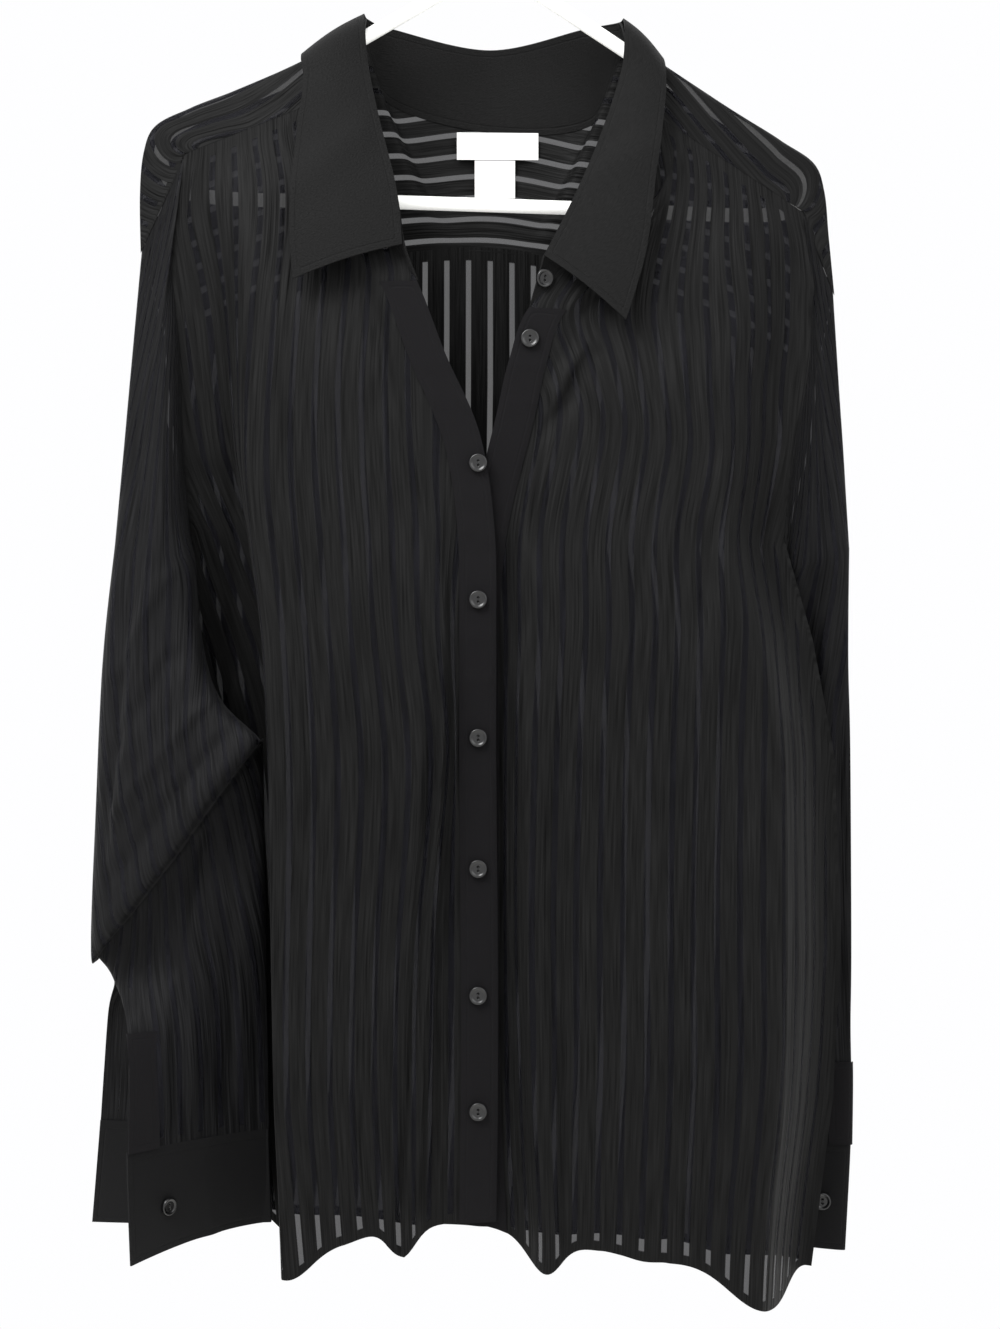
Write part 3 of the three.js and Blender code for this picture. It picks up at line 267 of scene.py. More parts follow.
def front_section(front, t):
    """A front's table row at section t, with its side and its front edge as points."""
    row = rows_at(front["sections"], t)
    side = side_at(front["armhole"], front["side"], t, ARMPIT_ROW, len(FRONT_RIGHT) - 1)
    edge = np.where((t <= NECK_ROW)[..., None], neck_seam(front["station"](t)), row[..., 4:7])
    return row, side, edge


def front_point(front, t, x):
    """y goes from the side's to the flat front's over the turn and is level under the placket, less
    the folds and creases; z goes straight from the side's to the edge's, less the folds' drop."""
    row, side, edge = front_section(front, t)
    turn, over, pleat, front_y = (row[..., k] for k in range(4))
    across = np.clip((x - side[..., 0]) / (edge[..., 0] - side[..., 0]), 0, 1)
    turned = smooth((x - turn) * front["inwards"] / over + 0.5)
    past_placket = (edge[..., 0] - x) * front["inwards"] - PLACKET_WIDTH
    near = smooth(1 - past_placket / (np.abs(edge[..., 0] - pleat) + 8 - PLACKET_WIDTH))
    level = lerp(side[..., 2], edge[..., 2], across)
    out, drop = fold_at(front["folds"], x, level)
    out = out + crease_at(front["creases"], x, level)
    from_side, below = smooth(across * 6), smooth(t)
    depth = lerp(lerp(side[..., 1], front_y, turned), edge[..., 1], near)
    y = lerp(lerp(side[..., 1], edge[..., 1], across), depth, below)
    y = y - out * from_side * (1 - near) * below
    return stacked(x, y, level - drop * from_side - SEAM * (1 - below))


# the columns where a stretch ends: at the side, before and after the turn, pleat, placket, edge
FRONT_STOPS = np.array([0, 36, 56, 136, 150, 168])


def front_x(front, t, column):
    """x goes straight from one stop to the next over the columns between them."""
    row, side, edge = front_section(front, t)
    inwards = front["inwards"]
    half = row[..., 1] / 2 * inwards
    room = (row[..., 0] - half - side[..., 0]) * inwards
    before = np.where(room > 4, row[..., 0] - half, side[..., 0] + 4 * inwards)
    at = [side[..., 0], before, row[..., 0] + half, row[..., 2]]
    at = np.stack(at + [edge[..., 0] - PLACKET_WIDTH * inwards, edge[..., 0]], -1)
    k = np.clip(np.searchsorted(FRONT_STOPS, column, side="right") - 1, 0, len(FRONT_STOPS) - 2)
    f = (column - FRONT_STOPS[k]) / (FRONT_STOPS[k + 1] - FRONT_STOPS[k])
    rows = np.arange(at.shape[0])[:, None]
    return lerp(at[rows, k], at[rows, k + 1], f)


def unit(vectors):
    """The vectors at a length of 1."""
    return vectors / np.maximum(np.linalg.norm(vectors, axis=-1, keepdims=True), 1e-9)


def arc(points, axis):
    """The length along an axis of the grid, from its first row or column."""
    step = np.linalg.norm(np.diff(points, axis=axis), axis=-1)
    return np.cumsum(np.insert(step, 0, 0, axis=axis), axis=axis)


def edge_distance(points, top=True, bottom=True, first=True, last=True):
    """The length to the nearest of the grid's named edges."""
    down, across = arc(points, 0), arc(points, 1)
    to_edges = [down] * top + [down[-1:] - down] * bottom
    to_edges += [across] * first + [across[:, -1:] - across] * last
    return np.minimum(50, np.min(np.stack(to_edges), axis=0))


def lapped(points, top=0, bottom=0, first=0, last=0):
    """The grid with its edges moved out by so many millimetres along it, to lap its neighbours."""
    points = points.copy()
    for lines, reaches in ((points, (top, bottom)), (points.swapaxes(0, 1), (first, last))):
        for edge, inner, reach in zip((0, -1), (1, -2), reaches):
            lines[edge] += unit(lines[edge] - lines[inner]) * reach
    return points


def even_down(lengths, rows=24):
    """Each value averaged with those up to so many rows above and below, so stripes run smoothly."""
    padded = np.pad(lengths, ((rows, rows), (0, 0)), mode="reflect", reflect_type="odd")
    total = np.cumsum(np.insert(padded, 0, 0, axis=0), axis=0)
    return (total[2 * rows + 1 :] - total[: -2 * rows - 1]) / (2 * rows + 1)


def normals(points, joined=-1):
    """The direction across the columns crossed with the direction down the rows, of length 1."""
    across, down = np.gradient(points, axis=1), np.gradient(points, axis=0)
    rows = slice(0, joined + 1)
    across[rows, 0] = across[rows, -1] = (points[rows, 1] - points[rows, -2]) / 2
    return unit(np.cross(across, down))


def link(name, data):
    """Adds an object with its data to the scene."""
    added = bpy.data.objects.new(name, data)
    bpy.context.scene.collection.objects.link(added)
    return added


def place(name, material, verts, faces, uv=None, edge=None, sharp=50):
    """Adds a mesh in the CAD node's place, on the body, smooth but for edges sharper than an angle.
    A face's repeated corners count once."""
    mesh = bpy.data.meshes.new(name)
    corners = [list(dict.fromkeys(face)) for face in faces.tolist()]
    mesh.from_pydata((verts * 0.001).tolist(), [], corners)
    mesh.materials.append(material)
    if uv is not None:
        layer = mesh.uv_layers.new(name="cloth")
        layer.data.foreach_set("uv", (uv * 0.001).astype(np.float32).ravel())
        layer = mesh.attributes.new("edge", "FLOAT", "POINT")
        layer.data.foreach_set("value", (edge * 0.001).astype(np.float32).ravel())
    mesh.polygons.foreach_set("use_smooth", np.ones(len(mesh.polygons), bool))
    mesh.set_sharp_from_angle(angle=math.radians(sharp))
    mesh.validate()
    piece = link(name, mesh)
    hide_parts(name)
    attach(piece, "root")
    return piece


def shell(name, material, points, thick, side, uv, edge, joined=-1):
    """A closed wall over a grid of outer points: its inside is the grid moved by thick along the
    normal. The last column is the first one down to the row joined."""
    inner = points + normals(points, joined) * side * thick
    g = np.arange(points.shape[0] * points.shape[1]).reshape(points.shape[:2])
    index = g.copy()
    index[: joined + 1, -1] = index[: joined + 1, 0]
    count = g.size

    def quads(*corners):
        return stacked(*(corner.ravel() for corner in corners))

    outer = quads(g[1:, :-1], g[1:, 1:], g[:-1, 1:], g[:-1, :-1])
    inside = quads(g[:-1, :-1], g[:-1, 1:], g[1:, 1:], g[1:, :-1]) + count
    top = quads(g[0, :-1], g[0, 1:], g[0, 1:] + count, g[0, :-1] + count)
    bottom = quads(g[-1, 1:], g[-1, :-1], g[-1, :-1] + count, g[-1, 1:] + count)
    free = g[max(joined, 0) :]
    first = quads(free[1:, 0], free[:-1, 0], free[:-1, 0] + count, free[1:, 0] + count)
    last = quads(free[:-1, -1], free[1:, -1], free[1:, -1] + count, free[:-1, -1] + count)
    corners = np.concatenate([outer, inside, top, bottom, first, last])
    if side < 0:
        corners = corners[:, ::-1]
    loops_uv = np.concatenate([uv.reshape(-1, 2)] * 2)[corners]
    both = np.concatenate([index.ravel(), index.ravel() + count])
    used, faces = np.unique(both[corners], return_inverse=True)
    verts = np.concatenate([points.reshape(-1, 3), inner.reshape(-1, 3)])[used]
    edges = np.concatenate([edge.ravel()] * 2)[used]
    return place(name, material, verts, faces.reshape(corners.shape), loops_uv, edges)


def strip(name, material, points, thick, side, lap=0):
    """A narrow piece of cloth over its grid of points: u along the rows, v down the columns, its top
    edge moved up by lap. Its flat size is in metres."""
    uv = stacked(arc(points, 1), arc(points, 0))
    edge = edge_distance(points)
    piece = shell(name, material, lapped(points, top=lap), thick, side, uv, edge)


def colour(code):
    """The linear colour of an sRGB hex code."""
    parts = [int(code[k : k + 2], 16) / 255 for k in (1, 3, 5)]
    return [c / 12.92 if c <= 0.04045 else ((c + 0.055) / 1.055) ** 2.4 for c in parts] + [1]


def set_up(tree, target, settings=(), **links):
    """Sets a node's sockets or properties, and links other nodes or sockets to its sockets, which are
    named with _ for a space, or numbered i0, i1 and so on."""
    for key, value in dict(settings).items():
        if isinstance(key, int) or key in target.inputs:
            target.inputs[key].default_value = value
        else:
            setattr(target, key, value)
    for key, source in links.items():
        socket = source.outputs[0] if isinstance(source, bpy.types.Node) else source
        name = int(key[1:]) if key[1:].isdigit() else key.replace("_", " ")
        tree.links.new(socket, target.inputs[name])
    return target


def node(tree, kind, settings=(), **links):
    """Adds a node to the tree and sets it up."""
    return set_up(tree, tree.nodes.new("ShaderNode" + kind), settings, **links)


def maths(tree, operation, source, *numbers):
    """A Math node on a source and up to two numbers."""
    return node(tree, "Math", {"operation": operation} | dict(enumerate(numbers, 1)), i0=source)


def soft_step(tree, source, low, high, to_low=0.0, to_high=1.0):
    """A Map Range node that goes softly from to_low to to_high over low to high."""
    settings = {"interpolation_type": "SMOOTHSTEP", 1: low, 2: high, 3: to_low, 4: to_high}
    return node(tree, "MapRange", settings, i0=source)


def new_material(name, settings=()):
    """A node material, with its tree and its shader."""
    material = bpy.data.materials.new(name)
    material.use_nodes = True
    tree = material.node_tree
    tree.nodes.clear()
    shader = node(tree, "BsdfPrincipled", settings)
    node(tree, "OutputMaterial", Surface=shader)
    return material, tree, shader


def fine_lines(tree, uv, finest, stretch):
    """Noise in lines of about finest metres across, stretch times longer down the cloth."""
    scaled = node(tree, "VectorMath", {"operation": "MULTIPLY", 1: (1, 1 / stretch, 0)}, i0=uv)
    return node(tree, "TexNoise", {"Scale": 1 / finest, "Detail": 3}, Vector=scaled).outputs["Fac"]


def shaded(tree, lines, darkest, lightest, settings=(), **links):
    """A colour made darker and lighter by the lines: painted shade and light of the cloth's fine crinkle.
    """
    light = node(tree, "MapRange", {1: 0.3, 2: 0.7, 3: darkest, 4: lightest}, i0=lines)
    return node(tree, "HueSaturation", settings, Value=light, **links)


STRIPE_EVERY = 0.014  # metres
SHEER_HALF = 0.125  # half a sheer stripe's width, as a share of that
SHEER_SOFT = 0.02  # how far its edge fades to each side, as a share of that
SEWN_EDGE = 0.006  # width of hems and seams, in metres


def chiffon(name, band, stripe, phase, cover):
    """Bands of dull close cloth 10.5 mm wide between 3.5 mm sheer stripes, crinkled along them in bumps,
    with painted shade and light of the crinkle in lines of darker and lighter colour. The bands hide what
    is behind, each face of a stripe hides the share cover of it, and hems and seams are double and close."""
    cloth = {"Roughness": 0.55, "Sheen Weight": 0.02, "Sheen Roughness": 0.4, "Specular IOR Level": 0.08}
    material, tree, shader = new_material(name, cloth)
    uv = node(tree, "UVMap", {"uv_map": "cloth"})
    u = node(tree, "SeparateXYZ", i0=uv)
    part = maths(tree, "FRACT", maths(tree, "MULTIPLY_ADD", u, 1 / STRIPE_EVERY, phase))
    away = maths(tree, "ABSOLUTE", maths(tree, "SUBTRACT", part, 0.5))
    in_stripe = soft_step(tree, away, SHEER_HALF - SHEER_SOFT, SHEER_HALF + SHEER_SOFT, 1.0, 0.0)
    edge = node(tree, "Attribute", {"attribute_name": "edge"}).outputs["Fac"]
    single = soft_step(tree, edge, SEWN_EDGE - 0.0005, SEWN_EDGE + 0.0005)
    sheer = node(tree, "Math", {"operation": "MULTIPLY"}, i0=in_stripe, i1=single)
    lines = fine_lines(tree, uv, 0.0011, 40)
    see = node(tree, "MapRange", {3: 1.0, 4: cover}, i0=sheer)
    mixed = node(tree, "Mix", {"data_type": "RGBA", 6: colour(band), 7: colour(stripe)}, i0=sheer)
    # painted shade and light: the crinkle lines darken and lighten the colour
    shade = shaded(tree, lines, 0.35, 1.75, Color=mixed.outputs[2])
    fine = node(tree, "Bump", {"Strength": 0.8, "Distance": 0.0006}, Height=lines)
    wide_lines = fine_lines(tree, uv, 0.006, 30)
    broad = node(tree, "Bump", {"Strength": 1.0, "Distance": 0.003}, Height=wide_lines, Normal=fine)
    set_up(tree, shader, Base_Color=shade, Alpha=see, Normal=broad)
    return material


striped = chiffon("striped black chiffon", "#121212", "#111115", 0.5, 0.66)


def front_grid(front):
    """The front's points over its sections, closer above the armpit, and all its columns."""
    below = np.linspace(ARMPIT_ROW, len(FRONT_RIGHT) - 1, 90)[1:]
    t = np.concatenate([np.linspace(0, ARMPIT_ROW, 60), below])
    t = np.broadcast_to(t[:, None], (len(t), FRONT_STOPS[-1] + 1))
    column = np.broadcast_to(np.arange(FRONT_STOPS[-1] + 1), t.shape)
    return t, front_point(front, t, front_x(front, t[:, 0], column))


def front_piece(name, front):
    """A front, with its stripes upright: u is the length from the placket's line, v from the hem."""
    t, points = front_grid(front)
    across, down = arc(points, 1), arc(points, 0)
    line = abs(points[-1, -1, 0] - points[:, -1, 0])[:, None] * (t < ARMPIT_ROW)
    uv = stacked(even_down(across[:, -1:] - across + line), down[-1:] - down)
    edge = edge_distance(points, last=False)
    points = lapped(points, top=2.5, first=2)
    piece = shell(name, striped, points, THIN, front["inwards"], uv, edge)


front_piece("front_right", right)
front_piece("front_left", left)


# PLACKETS
# The bands along both front edges: the same cloth folded double, so they are close and dull.
# The right one lies on top of the left one, and both have small wrinkles across them.

# z of a wrinkle across the placket, how far it tilts, how far it stands out, its reach
WRINKLES = [
    (-402, 2, 0.85, 1.6), (-424, -3, 1.19, 2.08), (-438, 2, -0.85, 1.44), (-486, 3, 1.02, 1.92),
    (-512, -2, 1.19, 1.6), (-530, 3, -0.85, 1.76), (-571, -3, 1.02, 1.92), (-590, 2, 0.85, 1.44),
    (-607, 3, -1.02, 1.76), (-652, -2, 1.19, 1.92), (-676, 3, 0.85, 1.6), (-727, 2, 1.02, 1.76),
    (-748, -3, -0.85, 1.6), (-800, 2, 1.02, 2.08), (-322, 2, 0.68, 1.76), (-345, -2, 0.85, 1.6),
]


STITCH_IN = 0.004  # metres from the edge to the stitched line
BAND_WALL = 0.6  # millimetres


def doubled_cloth(name, code, finest, stretch):
    """Folded or lined cloth: nothing shows through, dull, with a stitched line 4 mm in from its edges and
    lines of crinkle along it, in bumps and in painted shade and light in the colour."""
    cloth = {"Roughness": 0.65, "Sheen Weight": 0.02, "Specular IOR Level": 0.1}
    material, tree, shader = new_material(name, cloth)
    lines = fine_lines(tree, node(tree, "UVMap", {"uv_map": "cloth"}), finest, stretch)
    # painted shade and light: the crinkle lines darken and lighten the colour
    shade = shaded(tree, lines, 0.45, 1.6, {"Color": colour(code)})
    edge = node(tree, "Attribute", {"attribute_name": "edge"}).outputs["Fac"]
    away = maths(tree, "ABSOLUTE", maths(tree, "SUBTRACT", edge, STITCH_IN))
    groove = soft_step(tree, away, 0.0002, 0.0008)
    fine = node(tree, "Bump", {"Strength": 0.8, "Distance": 0.0008}, Height=lines)
    sewn = node(tree, "Bump", {"Strength": 0.6, "Distance": 0.0004}, Height=groove, Normal=fine)
    set_up(tree, shader, Base_Color=shade, Normal=sewn)
    return material


band_cloth = doubled_cloth("folded black chiffon", "#141315", 0.0012, 0.06)


def placket_piece(name, front):
    """The front's own surface along its edge, moved out to lie on it, closest at the two sides."""
    t, points = front_grid(front)
    points = points[t[:, 0] >= NECK_ROW][:, FRONT_STOPS[4] :]
    share = np.linspace(0, 1, points.shape[1])[None]
    wrinkle = np.zeros(points.shape[:2])
    for height, tilt, out, reach in WRINKLES:
        from_line = points[..., 2] - height - tilt * (share - 0.5)
        wrinkle += out * np.exp(-((from_line / reach) ** 2))
    bulge = smooth(share * 8) * smooth((1 - share) * 8)
    off = 0.7 + (LAID - 0.9 + wrinkle) * bulge
    points = points - stacked(0 * off, off, 0 * off)
    side = front["inwards"]
    strip(name, band_cloth, points, BAND_WALL, side)


placket_piece("placket_buttonholes", right)
placket_piece("placket_buttons", left)


# BACK
# One panel of the striped chiffon below the yoke, sewn to it and to the sides of the fronts.
# A thin wall over a surface of section and share across, with folds that fall from the yoke.

ARMHOLE_BACK_RIGHT = [(-206, 14, -300), (-203, 17, -345), (-187, 3, -421)]
ARMHOLE_BACK_LEFT = [(206, 12, -325), (203, 15, -362), (184, 0, -431)]
BEHIND_SEAM = CLOTH + SEAM

# rise of the middle, depth, and where the left side turns forward: x and depth
BACK = [
    (75, 38, 150, 18), (30, 44, 150, 20), (0, 48, 146, 16), (0, 50, 138, 18), (0, 53, 135, 18),
    (0, 56, 135, 18), (0, 57, 137, 18), (-6, 57, 140, 18),
]
FOLDS_BACK = [
    (-34, -250, -52, -866, 5, 18, 4),
    (30, -250, 44, -868, 5, 18, 4),
    (-110, -420, -128, -862, 6, 20, 6),
    (92, -430, 106, -870, 6, 16, 6),
]
CREASES_BACK = [
    (-18, -246, -22, -420, -34, -905, 1.8, 3, 9),
    (14, -246, 18, -420, 20, -905, -1.6, 8, 3),
    (-64, -300, -74, -520, -82, -905, -2.2, 3, 10),
    (58, -300, 66, -520, 74, -905, 2.0, 10, 3),
    (-140, -360, -150, -560, -158, -905, 2.2, 9, 3),
    (-96, -480, -104, -640, -100, -905, -1.8, 8, 3),
    (118, -470, 124, -640, 128, -905, -1.8, 3, 8),
    (0, -560, -4, -700, -8, -905, -1.8, 5, 5),
    (-176, -430, -184, -600, -186, -905, -1.6, 4, 8),
]


def back_point(t, across):
    """x and z go straight from side to side, with the middle raised; y turns away from each side on
    a quarter circle to the panel's depth, plus the folds and creases."""
    row = rows_at(BACK, t)
    rise, back_y, tuck_x, tuck_y = (row[..., k] for k in range(4))
    last = len(BACK) - 1
    right_side = side_at(ARMHOLE_BACK_RIGHT, SIDE_RIGHT, t, 2, last)
    left_side = side_at(ARMHOLE_BACK_LEFT, SIDE_LEFT, t, 2, last)
    x = lerp(right_side[..., 0], left_side[..., 0], across)
    middle = 1 - (2 * across - 1) ** 2
    full_depth = lerp(back_y, tuck_y, smooth((x - tuck_x) / 40 + 0.7))
    near_right = across < 0.5
    seam_y = np.where(near_right, right_side[..., 1], left_side[..., 1])
    distance = np.where(near_right, x - right_side[..., 0], left_side[..., 0] - x)
    turned = np.sqrt(1 - (1 - np.clip(distance / 22, 0, 1)) ** 2)
    z = lerp(right_side[..., 2], left_side[..., 2], across) + rise * middle
    out, drop = fold_at(FOLDS_BACK, x, z)
    out = out + crease_at(CREASES_BACK, x, z)
    y = lerp(seam_y + BEHIND_SEAM, full_depth, turned) + out * middle * smooth(t)
    return stacked(x, y, z - drop * middle - SEAM * (1 - smooth(t)))


back_t = np.concatenate([np.linspace(0, 2, 40), np.linspace(2, len(BACK) - 1, 100)[1:]])
back_across = 0.5 - 0.5 * np.cos(np.pi * np.linspace(0, 1, 201))
back_points = back_point(*np.meshgrid(back_t, back_across, indexing="ij"))
back_arc = arc(back_points, 1)
back_u = even_down(back_arc - back_arc[:, 100:101])
back_v = arc(back_points, 0)
back = shell(
    "back",
    striped,
    lapped(back_points, top=2.5),
    THIN,
    -1,
    stacked(back_u, back_v[-1:] - back_v),
    edge_distance(back_points),
)


# YOKE
# The piece over the shoulders, with its stripes across. It lies on the hanger's arms and round
# them to the seams with the fronts and the back, and hangs straight behind the neck.

ON_TUBE = 6.0  # from the tube's axis to the cloth's outer face
SHOULDER = 9 / 38  # how much of the width each shoulder takes
AROUND_START, AROUND_END, AROUND_ANGLE = 0.25, 0.5, math.radians(75)
RIDGE_AT = (AROUND_START + AROUND_END) / 2
ARM_SLOPE = math.radians(33)

# x, z of the hanger's loop: down the right arm, along the bar and up the left arm
HANGER_LOOP = [
    (0, -66), (-30, -83.5), (-67, -104.7), (-117, -133), (-160, -152), (-190, -164),
    (-203, -173), (-206, -189), (-197, -205), (-181, -210.5), (-60, -214.5), (60, -218.5),
    (174, -222.5), (189, -219.5), (198, -208), (196, -196), (186, -186), (150, -163), (73, -112),
    (30, -84),
]

# x, z of the yoke's highest line from the shoulder point to the neck
YOKE_RIDGE_RIGHT = [
    (-218, -243), (-218.5, -207), (-216.3, -182), (-209, -166.5), (-187, -155.5), (-146, -139.5),
    (-104, -119.5),
]
YOKE_RIDGE_LEFT = [
    (215, -269.5), (211.5, -233), (209, -207), (202.5, -190), (182, -176), (144, -152),
    (104, -126),
]


def curve_points(points, t, closed):
    """Points at t, counted in points, on a centripetal Catmull-Rom curve: on each stretch a cubic
    whose slopes at its ends weigh the neighbours by the square roots of the distances to them."""
    p = np.asarray(points, float)
    count = len(p)
    i = np.floor(t).astype(int)
    if closed:
        four = [p[(i + k) % count] for k in (-1, 0, 1, 2)]
    else:
        ends = np.concatenate([[2 * p[0] - p[1]], p, [2 * p[-1] - p[-2]]])
        i = np.minimum(i, count - 2)
        four = [ends[i + k] for k in (0, 1, 2, 3)]
    a, b, c, d = four
    spans = (b - a, c - b, d - c)
    s0, s1, s2 = (np.sqrt(np.linalg.norm(span, axis=-1, keepdims=True)) for span in spans)
    start = ((b - a) / s0 - (c - a) / (s0 + s1) + (c - b) / s1) * s1
    end = ((c - b) / s1 - (d - b) / (s1 + s2) + (d - c) / s2) * s1
    f = (t - i)[..., None]
    return b + f * (start + f * (3 * (c - b) - 2 * start - end + f * (2 * (b - c) + start + end)))


upper_arms = curve_points(HANGER_LOOP, np.linspace(14, 27, 400) % 20, True)[::-1]


def over_arm(x, radius):
    """The height at which cloth of that radius lies over the sloping arm at x."""
    axis = np.interp(x, upper_arms[:, 0], upper_arms[:, 1], left=-1e4, right=-1e4)
    return axis + radius / math.cos(ARM_SLOPE)


def yoke_station(across):
    """The collar's station above a share across of the yoke."""
    return lerp(RIGHT_NECK_POINT, LEFT_NECK_POINT, (across - SHOULDER) / (1 - 2 * SHOULDER))


def past_neck_point(across):
    """How many stations past the nearer neck point."""
    station = yoke_station(across)
    return np.maximum(0, np.minimum(station - RIGHT_NECK_POINT, LEFT_NECK_POINT - station))


def shoulder_seam(front, share):
    """From the yoke's corner at the armhole to the neck point, by the cube of the share."""
    _, side, edge = front_section(front, np.zeros_like(share))
    side = side + np.array([-front["inwards"], 0, 1.5])
    return lerp(side, edge, (share**3)[..., None])


def yoke_front_edge(across):
    """The shoulder seams, and the neck seam between them."""
    on_right, on_left = (across < SHOULDER)[..., None], (across > 1 - SHOULDER)[..., None]
    edge = np.where(on_right, shoulder_seam(right, across / SHOULDER), neck_seam(yoke_station(across)))
    return np.where(on_left, shoulder_seam(left, (1 - across) / SHOULDER), edge)


def yoke_ridge(across):
    """The tables' line on the shoulders, never below the tube, then over the tube to the neck."""
    share = np.clip(np.minimum(across, 1 - across) / SHOULDER, 0, 1) * (len(YOKE_RIDGE_RIGHT) - 1)
    on_right = (across < 0.5)[..., None]
    row = np.where(on_right, rows_at(YOKE_RIDGE_RIGHT, share), rows_at(YOKE_RIDGE_LEFT, share))
    to_neck = smooth(past_neck_point(across))
    x = lerp(row[..., 0], yoke_front_edge(across)[..., 0], to_neck)
    radius = ON_TUBE * lerp(1, 1.5, to_neck)
    z = over_arm(x, radius)
    return x, np.where(to_neck > 0, z, np.maximum(row[..., 1], z)), radius


def round_tube(ridge, turn):
    """x stays, y = r sin(turn) and z = ridge - r (1 - cos(turn))."""
    x, z, radius = ridge
    return stacked(x, radius * np.sin(turn), z - radius * (1 - np.cos(turn)))


def yoke_point(across, down):
    """Straight from the front edge up to the tube, round it, and straight down to the back seam;
    towards the middle of the neck it goes over to a straight line from the neck to the seam."""
    front = yoke_front_edge(across)
    behind = back_point(np.zeros_like(across), across) + np.array([0, 0, 2 * SEAM])
    past = past_neck_point(across)
    low = RIDGE_AT * np.clip(past - 1, 0, 1)
    starts = np.where(past < 2, low, lerp(RIDGE_AT, AROUND_END, np.clip(past - 2, 0, 1)))
    at = lerp(starts, 1, down)
    ridge = yoke_ridge(across)
    span = AROUND_END - AROUND_START
    turn = lerp(-AROUND_ANGLE, AROUND_ANGLE, np.clip((at - AROUND_START) / span, 0, 1))
    tube = round_tube(ridge, turn)
    rises = lerp(front, tube, np.clip(at / AROUND_START, 0, 1)[..., None])
    over = lerp(rises, behind, np.clip((at - AROUND_END) / (1 - AROUND_END), 0, 1)[..., None])
    straight = lerp(front, behind, down[..., None])
    return np.where((past > 4)[..., None], straight, lerp(over, straight, smooth(past - 3)[..., None]))


yoke_across = np.linspace(0.003, 0.997, 261)
yoke_stops = ((0, AROUND_START, 12), (AROUND_START, AROUND_END, 16), (AROUND_END, 1, 30))
yoke_down = np.unique(np.concatenate([np.linspace(*stop) for stop in yoke_stops]))
yoke_points = yoke_point(*np.meshgrid(yoke_across, yoke_down))
yoke_v = arc(yoke_points, 0)
yoke_v = yoke_v[-1:] - yoke_v
yoke_edge = np.minimum(edge_distance(yoke_points, top=False, bottom=False), yoke_v + 2)
yoke_cloth = chiffon("striped black chiffon across", "#121212", "#121216", 0.05, 0.64)
yoke = shell(
    "yoke",
    yoke_cloth,
    lapped(yoke_points, bottom=1.5, first=1.5, last=1.5),
    THIN,
    -1,
    stacked(yoke_v, arc(yoke_points, 1)),
    yoke_edge,
)


# SLEEVES
# Two long sleeves of the striped chiffon, hung from the armholes and closed lengthwise down to a
# slit above each cuff. The right one doubles over at the elbow, the left one hangs straight.

# outer edge's x, y, z, back end's x, y, z, inner edge's x, y, z,
# bulge of the front and the back layer, and how gently that starts at the edges
SLEEVE_RIGHT = [
    (-233, -8, -430, -233, -8, -430, -183, -12, -440, -20, 12, 0.7),
    (-240, -10, -500, -240, -10, -500, -178, -18, -489, -22, 16, 0.7),
    (-244, -12, -590, -244, -12, -590, -166, -26, -525, -24, 20, 0.7),
    (-247, -14, -682, -247, -14, -682, -141, -38, -549, -18, 26, 0.7),
    (-244, -4, -688, -244, -4, -688, -141, -12, -560, -12, 16, 0.7),
    (-236, 2, -702, -236, 2, -702, -140, -8, -650, -14, 14, 0.7),
]
SLIT_RIGHT = [
    (-221, -34, -730, -246, 34, -730, -140, 2, -725, -4, 6, 1.2),
    (-219, -46, -801, -253, 47, -801, -140, 12, -799, 6, 2, 2),
    (-216, -49, -867, -259, 52, -867, -139, 18, -858, 18, -4, 2),
]
SLEEVE_LEFT = [
    (226, 6, -432, 226, 6, -432, 187, 14, -446, -12, 14, 0.7),
    (228, 20, -500, 228, 20, -500, 168, 36, -500, -6, 14, 0.7),
    (230.5, 27, -560, 230.5, 27, -560, 152, 41, -560, -5, 13, 0.7),
    (231.5, 29, -685, 231.5, 29, -685, 154, 42, -685, -5, 12, 0.7),
    (231, 29, -735, 231, 29, -735, 157, 42, -735, -5, 12, 0.7),
]
SLIT_LEFT = [
    (231, 26, -770, 230, 32, -770, 158, 42, -770, -5, 11, 0.7),
    (230.5, 26, -811, 228, 34, -811, 162, 42, -811, -5, 9, 0.7),
    (227, 26, -878, 222, 36, -878, 160, 42, -874, -5, 8, 0.7),
]
CREASES_SLEEVE_RIGHT = [
    (-196, -250, -206, -420, -226, -600, 3.5, 4, 9),
    (-214, -330, -222, -470, -238, -640, -2.9, 7, 3),
    (-150, -552, -196, -620, -240, -676, 3.2, 9, 4),
    (-152, -536, -190, -582, -238, -644, -2.6, 4, 8),
    (-166, -520, -196, -556, -236, -606, 2.2, 8, 4),
    (-190, -490, -206, -520, -236, -566, -1.9, 4, 8),
    (-192, -440, -208, -470, -234, -520, 1.8, 7, 4),
    (-170, -590, -186, -680, -184, -790, 3.2, 4, 10),
    (-196, -690, -200, -740, -198, -795, 2.6, 5, 4),
    (-158, -640, -160, -720, -162, -795, -2.9, 8, 3),
]
CREASES_SLEEVE_LEFT = [
    (214, -330, 212, -480, 218, -700, 1.8, 3, 7),
    (206, -380, 200, -500, 208, -760, -1.6, 7, 3),
    (222, -500, 224, -640, 224, -790, -1.2, 3, 5),
    (180, -520, 184, -650, 186, -800, 1.8, 8, 3),
]
hole_right = dict(sign=-1, front=ARMHOLE_FRONT_RIGHT, back=ARMHOLE_BACK_RIGHT)
hole_left = dict(sign=1, front=ARMHOLE_FRONT_LEFT, back=ARMHOLE_BACK_LEFT)
CAP_ROWS = 24
SLEEVE_COLUMNS = 160
ON_YOKE = 0.15  # how much of the ring each half of the yoke's end takes
sleeve_cloth = chiffon("striped black sleeve chiffon", "#141415", "#131317", 0.5, 0.8)


